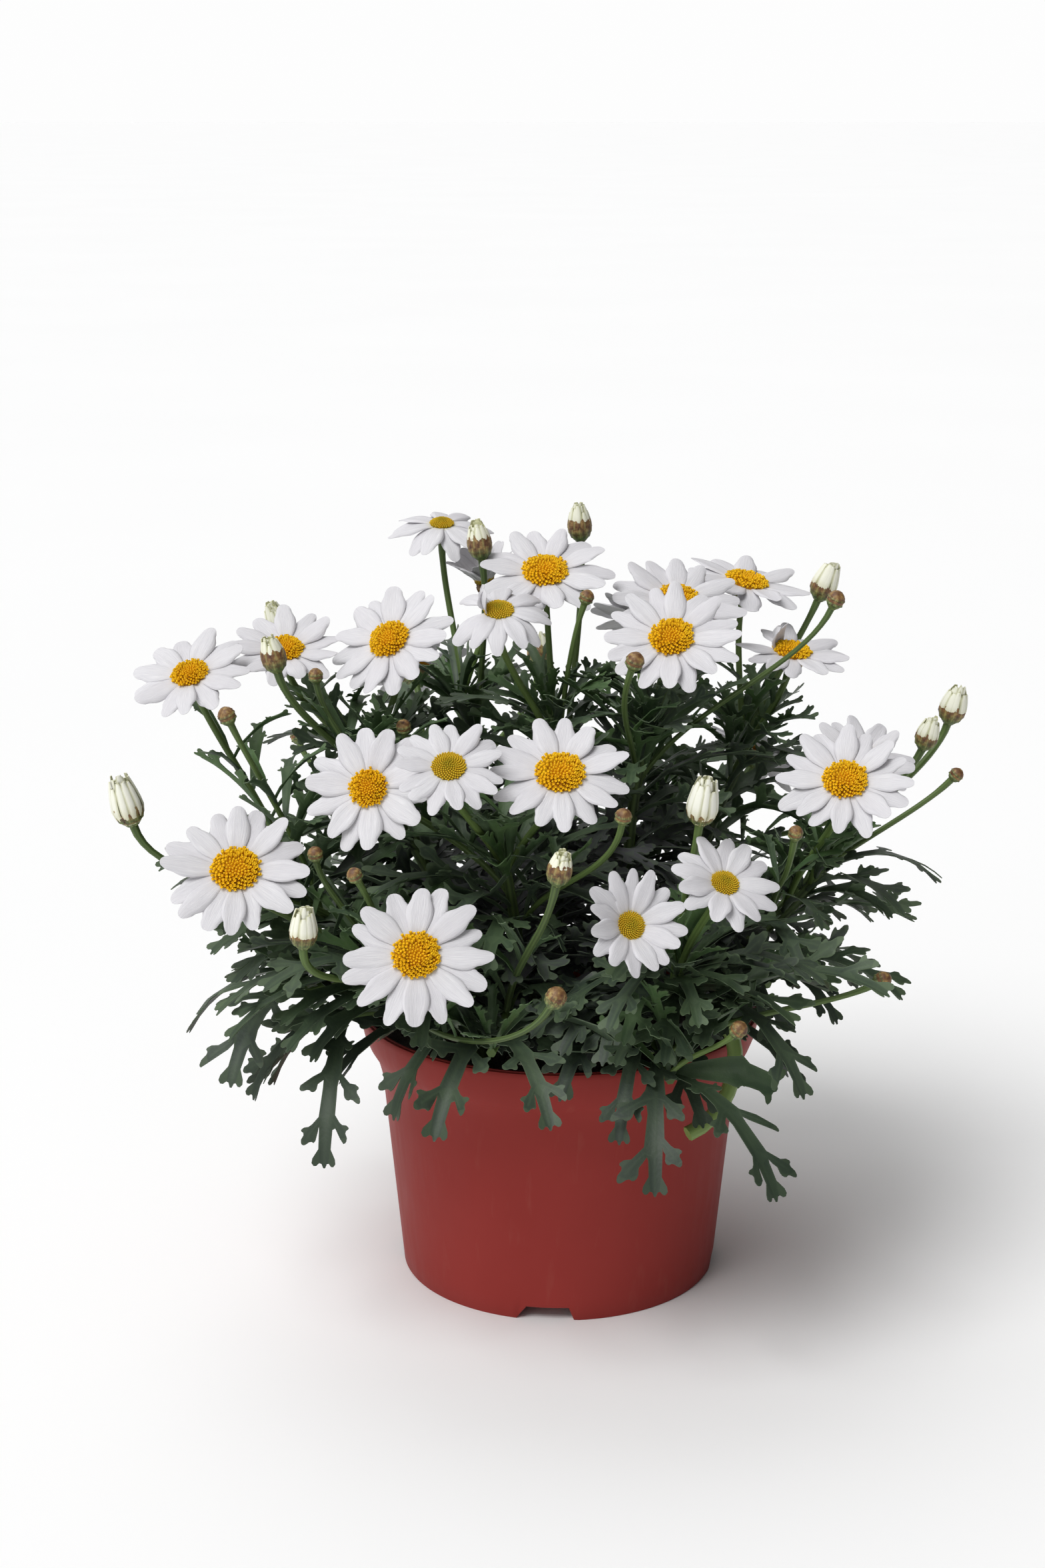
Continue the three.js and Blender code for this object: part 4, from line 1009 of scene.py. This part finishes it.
def add_cup(skin, head, rng):
    """The green cup under a bloom, with three rows of scales"""
    normal = heading(*head["face"])
    axes = across(normal)
    foot = head_foot(head)
    radii = [PEDUNCLE_RADIUS] + [head["disc"] * wide * 0.9 for _, wide in CUP_RINGS]
    places = [foot + normal * height for height in (0, *(height for height, _ in CUP_RINGS))]
    rings = tube_rings(places, radii, 20)
    grain = tube_grain(5, 20, 0.3)
    grain[..., 0] = 0.2
    grain[..., 1] = np.array([0, 0.1, 0.3, 0.55, 0.8])[:, None]
    skin.loft(rings, grain, 1)
    for row, (height, wide, long) in enumerate(CUP_SCALES):
        count = 9 + 2 * row
        for i in range(count):
            turn = 2 * math.pi * (i + 0.5 * row + rng.uniform(-0.1, 0.1)) / count
            add_bract(skin, foot, normal, axes, turn, height, head["disc"] * wide * 0.9, long,
                      2.5 * math.pi * head["disc"] * wide / count, lerp(0.75, 0.15, row / 2), rng.random(), 1)


def bud_radius(head, share):
    marks = ([0, 0.1, 0.25, 0.42, 0.62, 0.82, 1], [0.36, 0.72, 0.96, 1.0, 0.9, 0.76, 0.6])
    if head["pale"] == 0:
        marks = ([0, 0.1, 0.28, 0.5, 0.72, 0.9, 1], [0.4, 0.68, 0.93, 1.0, 0.92, 0.62, 0.2])
    return np.interp(share, *marks) * head["radius"]


def add_bud(skin, head, rng):
    """A closed bud: scales in overlapping rows, and above them folded petals where they show"""
    normal = heading(*head["face"])
    axes = across(normal)
    foot = head_foot(head)
    length, pale = head["length"], head["pale"]
    top = 1.08 - pale if pale else 0.98
    shares = np.linspace(0, top if pale else 0.96, 9)
    places = [foot + normal * s * length for s in shares]
    rings = tube_rings(places, bud_radius(head, shares) * 0.86, 18)
    grain = tube_grain(9, 18, 0.4)
    grain[..., 0] = 0.3
    skin.loft(rings, grain, 1)
    rows = max(2, round(top * length / 1.9))
    for row in range(rows):
        share = top * row / rows * 0.86
        count = 8 + row % 3
        radius = bud_radius(head, share) * 0.9
        beyond = min(share + top / rows * 1.5 + 1.2 / length, 1)
        lean = (bud_radius(head, beyond) - bud_radius(head, share)) / ((beyond - share) * length)
        for i in range(count):
            turn = 2 * math.pi * (i + 0.5 * row + rng.uniform(-0.1, 0.1)) / count
            long = (beyond - share) * length * rng.uniform(0.85, 1.08)
            add_bract(skin, foot, normal, axes, turn, share * length, radius, long,
                      2.5 * math.pi * max(radius, 1.2) / count, lean * 0.95, rng.random(), 1)
    if pale:
        add_folded_petals(skin, head, foot, normal, axes, rng)


def add_folded_petals(skin, head, foot, normal, axes, rng):
    """Petals still folded to a bundle, each a narrow ridge that ends in a free tip"""
    length, pale = head["length"], head["pale"]
    root = max(1 - pale - 0.16, 0.05)
    for ring_index, (inset, count, rise) in enumerate(FOLDED_RINGS):
        for i in range(count):
            turn = 2 * math.pi * (i + 0.5 * ring_index + rng.uniform(-0.25, 0.25)) / count
            out, round_ = round_axis(axes, turn)
            end = rise + rng.uniform(-0.16, 0.07)
            shares = np.linspace(root, end, 7)
            radii = bud_radius(head, np.minimum(shares, 1)) * inset
            radii = radii * lerp(0.86, 1, smooth_step(root, root + 0.25, shares))
            radii = radii * lerp(1, 0.9 + 0.35 * max(pale - 0.5, 0), smooth_step(0.6, 1, shares))
            wide = np.interp(shares, [root, root + 0.4 * (end - root), end - 0.12, end], [0.8, 1, 0.9, 0.45])
            half = wide * rng.uniform(1.0, 1.45) * math.pi * head["radius"] * max(inset, 0.5) / count
            rings, grain = [], []
            for s, radius, w in zip(shares, radii, half):
                middle = foot + normal * s * length + out * radius
                rings.append(section(middle, out, round_, w, FOLDED_MARKS))
                level = (s - root) / (end - root)
                # The first value falls towards the petal's edges, where the material paints shade at the
                # seams
                grain.append([(shade, level, pale) for shade in (0, 0.7, 1, 0.7, 0, 0.2)])
            skin.loft(np.array(rings)[:, ::-1], np.array(grain)[:, ::-1], 2)


# Leaf outlines, each a strap along the rib with lobes that branch off it, as flat templates in shares
# of the leaf's length. A lobe is where it leaves the rib, its angle, its reach and its half width.
LOBES_LARGE = [(0.26, 44, 0.13, 0.021), (0.46, 46, 0.27, 0.023), (0.71, 38, 0.25, 0.024)]
LOBES_SMALL = [(0.47, 44, 0.24, 0.026), (0.72, 36, 0.23, 0.026)]
LOBES_YOUNG = [(0.5, 36, 0.19, 0.034), (0.74, 32, 0.17, 0.034)]
LOBES_NARROW = [(0.66, 34, 0.16, 0.034)]
LOBES_BROAD = [(0.6, 22, 0.16, 0.05)]
SOFT_CORNER = 40


def lobe_outline(root, angle, reach, half, teeth):
    """A lobe's edge from its rear root, round its end to its front root. teeth says which sides have one"""
    turn = math.radians(angle)
    forward = np.array([math.cos(turn), math.sin(turn)])
    rear = np.array([-math.sin(turn), math.cos(turn)])
    shape = [(0.22, 1.0), (0.55, 1.1)]
    if teeth[0]:
        shape += [(0.66, 2.1), (0.78, 2.4), (0.78, 1.15)]
    shape += [(0.95, 0.95), (1.04, 0.3), (1.02, -0.5)]
    if teeth[1]:
        shape += [(0.84, -1.0), (0.82, -2.1), (0.7, -2.3), (0.56, -1.1)]
    shape += [(0.45, -1.0)]
    start = np.array([root, 0.0])
    return [start + forward * along * reach + rear * off * half for along, off in shape]


def varied_lobes(lobes, rng):
    """The lobes with a shift in common, and each with its own place, angle, reach and half width"""
    shift = rng.uniform(-0.04, 0.04)
    varied = []
    for root, angle, reach, half in lobes:
        root += shift + rng.uniform(-0.02, 0.02)
        angle += rng.uniform(-10, 10)
        varied.append((root, angle, reach * rng.uniform(0.72, 1.1), half * rng.uniform(0.85, 1.1)))
    return varied


def side_outline(lobes, width, rng):
    points = [np.array([0.06, width * 0.5]), np.array([0.22, width * 0.7])]
    for root, angle, reach, half in lobes:
        teeth = (rng.random() < 0.92, rng.random() < 0.85)
        points += [p for p in lobe_outline(root, angle, reach, half, teeth) if p[1] > width]
        points.append(np.array([root + half * 2.6, width]))
    points += [np.array([0.89, width * 0.9]), np.array([0.955, width * 1.9]), np.array([0.985, width * 1.3])]
    points.append(np.array([0.955, width * 0.5]))
    return points


def rounded(points):
    """The outline with each corner cut, but for those that hardly turn"""
    cut = []
    for last, corner, following in zip(np.roll(points, 1, 0), points, np.roll(points, -1, 0)):
        straight = unit(corner - last) @ unit(following - corner)
        is_sharp = straight < math.cos(math.radians(SOFT_CORNER))
        cut += [lerp(corner, last, 0.25), lerp(corner, following, 0.25)] if is_sharp else [corner]
    return np.array(cut)


def is_inside(points, outline):
    x, y = points[:, :1], points[:, 1:]
    after = np.roll(outline, -1, axis=0)
    spans = (outline[:, 1] > y) != (after[:, 1] > y)
    rise = after[:, 1] - outline[:, 1]
    rise = np.where(rise == 0, 1, rise)
    crossing = outline[:, 0] + (y - outline[:, 1]) / rise * (after[:, 0] - outline[:, 0])
    return (spans & (x < crossing)).sum(axis=1) % 2 == 1


def leaf_template(lobes, width, seed):
    """Flat corners, with the outline's first, and the faces between them. There is none if the outline
    crosses itself."""
    rng = random.Random(seed)
    sides = [varied_lobes(lobes, rng), varied_lobes(lobes, rng)]
    right, left = (side_outline(side, width, rng) for side in sides)
    outline = [np.array([0.0, 0.0])] + right + [np.array([1.0, 0.0])] + [p * (1, -1) for p in reversed(left)]
    outline = rounded(outline)[::-1]
    ribs = [np.column_stack([np.linspace(0.04, 0.96, 12), np.zeros(12)])]
    for sign, side in zip((1, -1), sides):
        for root, angle, reach, _ in side:
            turn = math.radians(angle)
            steps = np.array([0.3, 0.55, 0.8])[:, None] * reach
            ribs.append(np.array([root, 0]) + steps * (math.cos(turn), sign * math.sin(turn)))
    ribs = [rib[is_inside(rib, outline)] for rib in ribs]
    corners = np.concatenate([outline, *ribs])
    count = len(outline)
    starts = count + np.cumsum([0] + [len(rib) for rib in ribs])
    rib_edges = [(i, i + 1) for start, end in zip(starts[:-1], starts[1:]) for i in range(start, end - 1)]
    _, _, faces, origins, *_ = delaunay_2d_cdt(
        [Vector(c) for c in corners], rib_edges, [list(range(count))], 1, 1e-6, True)
    if len(origins) != len(corners) or any(list(o) != [i] for i, o in enumerate(origins)):
        return None
    faces = np.array(faces)
    a, b, c = (corners[faces[:, k]] for k in range(3))
    turned = (b - a)[:, 0] * (c - a)[:, 1] - (b - a)[:, 1] * (c - a)[:, 0]
    faces = np.where(turned[:, None] > 0, faces, faces[:, ::-1])
    return corners, faces[is_inside((a + b + c) / 3, outline)], count


def make_templates(lobes, width, first_seed, count=7):
    templates = (leaf_template(lobes, width, seed) for seed in range(first_seed, first_seed + 40))
    return [template for template in templates if template][:count]


def add_leaf(skin, leaf, template, fresh, thick=0.45):
    """A blade from a template, thin along its edge and thick along its ribs"""
    flat, faces, edge_count = template
    count = len(flat)
    share, width = flat[:, 0], flat[:, 1] * leaf["length"]
    is_rib = np.arange(count) >= edge_count
    half = np.where(is_rib, thick * (1 - 0.6 * share), EDGE_THICKNESS / 2)
    curl = leaf.get("curl", 0) * flat[:, 1] ** 2 * leaf["length"] * 4
    upper = leaf_points(leaf, share, width, curl + half * np.where(is_rib, 0.5, 1))
    lower = leaf_points(leaf, share, width, curl - half)
    edge = np.arange(edge_count)
    after = np.roll(edge, -1)
    walls = np.column_stack([edge, edge + count, after + count, after])
    # The third grain value is the leaf's freshness; low values, for leaves deep in the plant, also carry the
    # painted deep shade
    grain = np.column_stack([np.where(is_rib, 0, 1), share, np.full(count, fresh)])
    both = [faces, faces[:, ::-1] + count, walls]
    skin.add(np.concatenate([upper, lower]), both, np.concatenate([grain, grain]))


# Where leaves may not go. A further leaf that has no room is tried turned, and then shorter as well.
LEAF_FITS = [(turn, size) for size in (1, 0.65) for turn in (0, 25, -25, 50, -50, 90)]
HIGHEST_STALK_LEAF = 200
HIGH_HEAD = 185
YOUNG_LEAF = 30
VIEW_SLOPE = 0.37
CLEAR_MARKS = [(0.35, 0), (0.5, 0), (0.65, 0), (0.8, 0), (0.95, 0), *mirrored([(0.66, 0.22), (0.94, 0.17)])]
RIM_MARKS = [(0.3, 0), (0.5, 0), (0.75, 0), (1, 0), *mirrored([(0.66, 0.2), (0.94, 0.16)])]

# Stems with fewer further leaves than the others, where the plant lets light through
SPARSE = {"right": 17}


def blocked_tree():
    """The solids of the blooms and the pot, which further leaves keep clear of"""
    corners, faces = [], []
    count = 0
    for name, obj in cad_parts.items():
        if name.startswith("bloom_") or name == "pot":
            corners += [v.co.copy() for v in obj.data.vertices]
            faces += [[count + i for i in p.vertices] for p in obj.data.polygons]
            count = len(corners)
    return BVHTree.FromPolygons(corners, faces)


def is_clear(tree, leaf, gap):
    return all(tree.find_nearest(Vector(p) * MM, gap * MM)[0] is None for p in mark_places(leaf, CLEAR_MARKS))


def hides_rim(leaf):
    """Whether a leaf hangs in front of the rim, where the solids' own leaves already do, as seen from
    above at the slope of the photo"""
    x, y, z = mark_places(leaf, RIM_MARKS).T
    rim = np.sqrt(np.maximum(RIM_RADIUS ** 2 - x ** 2, 0))
    return bool(np.any((y < -rim) & (z + (y + rim) * VIEW_SLOPE < POT_HEIGHT + 2)))


def leaf_tone(leaf, low, high, rng):
    """How fresh a leaf is, from 0.3 up, or less for leaves deep in the plant, which the leaf material paints
    in a grey-violet shade tone
    """
    x, y, z = mark_places(leaf, [(0.6, 0)])[0]
    out = math.sqrt((x / 120) ** 2 + (y / 105) ** 2 + (max(z - 100, 0) / 105) ** 2)
    return (0.3 + 0.7 * rng.uniform(low, high)) * smooth_step(0.4, 0.8, out)


def extra_slots(line, stem, seed, count, length, low):
    """More leaves than the solids have room for, between them on the same stem"""
    rng = random.Random(seed)
    outward = outward_azimuth(stem)
    slots = []
    for i in range(count):
        share = lerp(low, 1, (i + rng.random()) / count)
        base = line.at(share)
        height = leaf_height(base)
        slots.append({
            "base": base,
            "azimuth": outward + i * GOLDEN_ANGLE + rng.uniform(-20, 20),
            "rise": lerp(34, 66, height) + rng.uniform(-14, 14),
            "fall": lerp(-50, -6, height) + rng.uniform(-22, 22),
            "length": lerp(length[0], length[1], height) * rng.uniform(0.75, 1.1),
            "roll": rng.uniform(-25, 25),
        })
    return slots


def tip_slots(line, seed, count):
    """The tuft of young leaves at a stem's tip"""
    rng = random.Random(seed)
    slots = []
    for i in range(count):
        slots.append({
            "base": line.at(0.94 + 0.06 * i / count),
            "azimuth": i * GOLDEN_ANGLE + rng.uniform(-15, 15),
            "rise": lerp(40, 80, i / count),
            "fall": lerp(5, 60, i / count) + rng.uniform(-10, 10),
            "length": lerp(34, 15, i / count) * rng.uniform(0.85, 1.1),
            "roll": rng.uniform(-20, 20),
        })
    return slots


def add_stalk(stalks, places, radii, draw, sides=12, ridge=0.06):
    stalks.loft(tube_rings(places, radii, sides, ridge), tube_grain(len(places), sides, draw))


def plant_pieces(materials):
    blocked = blocked_tree()
    templates = {
        "large": make_templates(LOBES_LARGE, 0.037, 10),
        "small": make_templates(LOBES_SMALL, 0.041, 30),
        "young": make_templates(LOBES_YOUNG, 0.056, 50),
        "narrow": make_templates(LOBES_NARROW, 0.06, 70),
        "broad": make_templates(LOBES_BROAD, 0.105, 90, 1),
    }
    for index, stem in enumerate(STEMS):
        name = stem["name"]
        node = f"stem_{name}"
        tree = node_tree(node)
        line = stem_line(stem)
        leaves, stalks = Skin(), Skin()
        rng = random.Random(900 + index)
        base = np.array([*stem["base"], SOIL_TOP - 11.0])
        shares = np.linspace(0, 1, 26)
        places = np.vstack([base, line.at(shares)])
        radii = np.concatenate([[STEM_ROOT_RADIUS], lerp(STEM_ROOT_RADIUS, STEM_TIP_RADIUS, shares)])
        add_stalk(stalks, places, radii, 0.25)
        ways = [(line, stem, index + 1)]
        for k, shoot in enumerate(SHOOTS):
            if shoot["on"] == name:
                way = shoot_line(shoot, line)
                ways.append((way, shoot, len(STEMS) + k + 1))
                add_stalk(stalks, way.at(np.linspace(0, 1, 12)), SHOOT_RADIUS, 0.75)
                if shoot["name"] == STUB["on"]:
                    stub = Curve(way.at(STUB["from"]), *STUB["way"]).at(np.linspace(0, 1, 14))
                    add_stalk(stalks, stub, STUB["radius"], 1, 16, 0.05)
                if shoot["name"] == BROAD_LEAF["on"]:
                    broad = {**BROAD_LEAF, "base": way.at(BROAD_LEAF["from"])}
                    add_leaf(leaves, broad, templates["broad"][0], fresh=0.7)
        for way, owner, seed in ways:
            add_way_leaves(leaves, way, owner, seed, tree, blocked, templates, rng)
            for head in [h for h in BLOOMS + BUDS if h["on"] == owner["name"]]:
                add_head_stalk(stalks, leaves, head, way, tree, templates, blocked, rng)
        leaves.piece(f"{node}_leaves", [materials["leaf"]], "green", [node], 60)
        stalks.piece(f"{node}_stalks", [materials["stalk"], materials["bract"], materials["folded"]],
                     "green", [node], 60)


def add_way_leaves(leaves, way, owner, seed, tree, blocked, templates, rng):
    is_main = "base" in owner
    for slot in leaf_slots(way, owner, seed):
        leaf = kept_leaf(slot, tree)
        kind = "small" if leaf["length"] < LARGE_LEAF else "large"
        leaf["curl"] = rng.uniform(-0.5, 0.8)
        add_leaf(leaves, leaf, rng.choice(templates[kind]), leaf_tone(leaf, 0, 0.35, rng), thick=0.6)
    count = SPARSE.get(owner["name"], 32 if is_main else 12)
    more = extra_slots(way, owner, seed, count, (50, 36), 0.25 if is_main else 0.2)
    more += tip_slots(way, seed + 200, 9 if is_main else 6)
    for k, leaf in enumerate(more):
        leaf["curl"] = rng.uniform(-0.8, 1.2)
        leaf["twist"] = rng.uniform(-30, 30)
        for turn, size in LEAF_FITS:
            tried = {**leaf, "azimuth": leaf["azimuth"] + turn, "length": leaf["length"] * size}
            if is_clear(blocked, tried, 1.2) and not hides_rim(tried):
                is_young = tried["length"] < YOUNG_LEAF
                fresh = leaf_tone(tried, *((0.35, 1) if is_young else (0, 0.5)), rng)
                add_leaf(leaves, tried, rng.choice(templates["young" if is_young else "small"]), fresh)
                break


def add_head_stalk(stalks, leaves, head, line, tree, templates, blocked, rng):
    way = kept_line(head, line, tree)
    shares = np.linspace(0, 1, 22)
    swell = lerp(1.0, 1.25, smooth_step(0.86, 1, shares))
    radii = PEDUNCLE_RADIUS * swell * (0.8 if head.get("radius", 9) < 3.5 else 1)
    add_stalk(stalks, way.at(shares), radii, rng.uniform(0.3, 0.9), ridge=0.07)
    if "radius" in head:
        add_bud(stalks, head, rng)
    else:
        add_cup(stalks, head, rng)
    reach = np.linalg.norm(way.points[3] - way.points[0])
    high = head["at"][2] > HIGH_HEAD
    count = 2 + int(reach / (11 if high else 18))
    for k in range(count):
        share = (k + rng.random()) / count
        leaf = {
            "base": way.at(0.04 + (0.66 if high else 0.46) * share),
            "azimuth": k * GOLDEN_ANGLE + rng.uniform(-30, 30),
            "rise": 66,
            "fall": rng.uniform(0, 45),
            "length": lerp(40, 20 if high else 14, share) * rng.uniform(0.8, 1.1),
            "roll": rng.uniform(-20, 20),
            "twist": rng.uniform(-30, 30),
        }
        end = mark_places(leaf, [(1, 0)])[0]
        if is_clear(blocked, leaf, 1.5) and not hides_rim(leaf) and end[2] < HIGHEST_STALK_LEAF:
            kind = "small" if leaf["length"] > YOUNG_LEAF else "narrow"
            add_leaf(leaves, leaf, rng.choice(templates[kind]), leaf_tone(leaf, 0.2, 0.9, rng))


# Stage
def make_stage():
    mesh = bpy.data.meshes.new("floor")
    half = FLOOR_SIZE / 2
    corners = [(-half, -half, 0), (half, -half, 0), (half, half, 0), (-half, half, 0)]
    mesh.from_pydata(corners, [], [(0, 1, 2, 3)])
    floor = bpy.data.objects.new("floor", mesh)
    mesh.materials.append(floor_material())
    bpy.context.scene.collection.objects.link(floor)
    world = bpy.data.worlds.new("studio")
    bpy.context.scene.world = world
    world.use_nodes = True
    tree = world.node_tree
    direction = add_node(tree, "ShaderNodeTexCoord").outputs["Generated"]
    sideways, behind, _ = add_node(tree, "ShaderNodeSeparateXYZ", {0: direction}).outputs
    around = ramp(tree, sideways, (0.0, grey(SKY["around"])), (0.5, grey(SKY["right"])))
    sky = blend_colours(tree, mask(tree, behind, (0.8, 0), (0.95, 1)), around, grey(SKY["backdrop"]))
    tree.links.new(sky, tree.nodes["Background"].inputs["Color"])
    for name, light in LIGHTS.items():
        add_light(name, *light)
    bpy.context.scene.view_settings.view_transform = "Standard"


def add_light(name, azimuth, elevation, strength, width):
    light = bpy.data.lights.new(name, "SUN")
    light.energy = strength
    light.angle = math.radians(width)
    obj = bpy.data.objects.new(name, light)
    obj.location = heading(azimuth, elevation) * STAGE_LIGHT_DISTANCE
    obj.rotation_euler = Vector(heading(azimuth, elevation)).to_track_quat("Z", "Y").to_euler()
    bpy.context.scene.collection.objects.link(obj)


def make_camera():
    camera = bpy.data.cameras.new("camera")
    camera.sensor_width = SENSOR
    camera.lens = FOCAL_PIXELS / PHOTO_HEIGHT * SENSOR
    camera.clip_end = 50
    obj = bpy.data.objects.new("camera", camera)
    obj.location = [v * MM for v in CAMERA_PLACE]
    obj.rotation_euler = (math.radians(90 - CAMERA_PITCH), 0, math.radians(CAMERA_YAW))
    bpy.context.scene.collection.objects.link(obj)
    bpy.context.scene.camera = obj


def main():
    make_camera()
    make_stage()
    pot_piece(pot_material())
    soil_piece(soil_material(), grain_material())
    petals = petal_material()
    discs = {False: disc_material(False), True: disc_material(True)}
    for number, bloom in enumerate(BLOOMS, 1):
        rays_piece(bloom, number, petals)
        disc_piece(bloom, number, discs[bloom["young"] > 0.5])
    plant_pieces({"leaf": leaf_material(), "stalk": stalk_material(), "bract": bract_material(),
                  "folded": folded_petal_material()})


main()
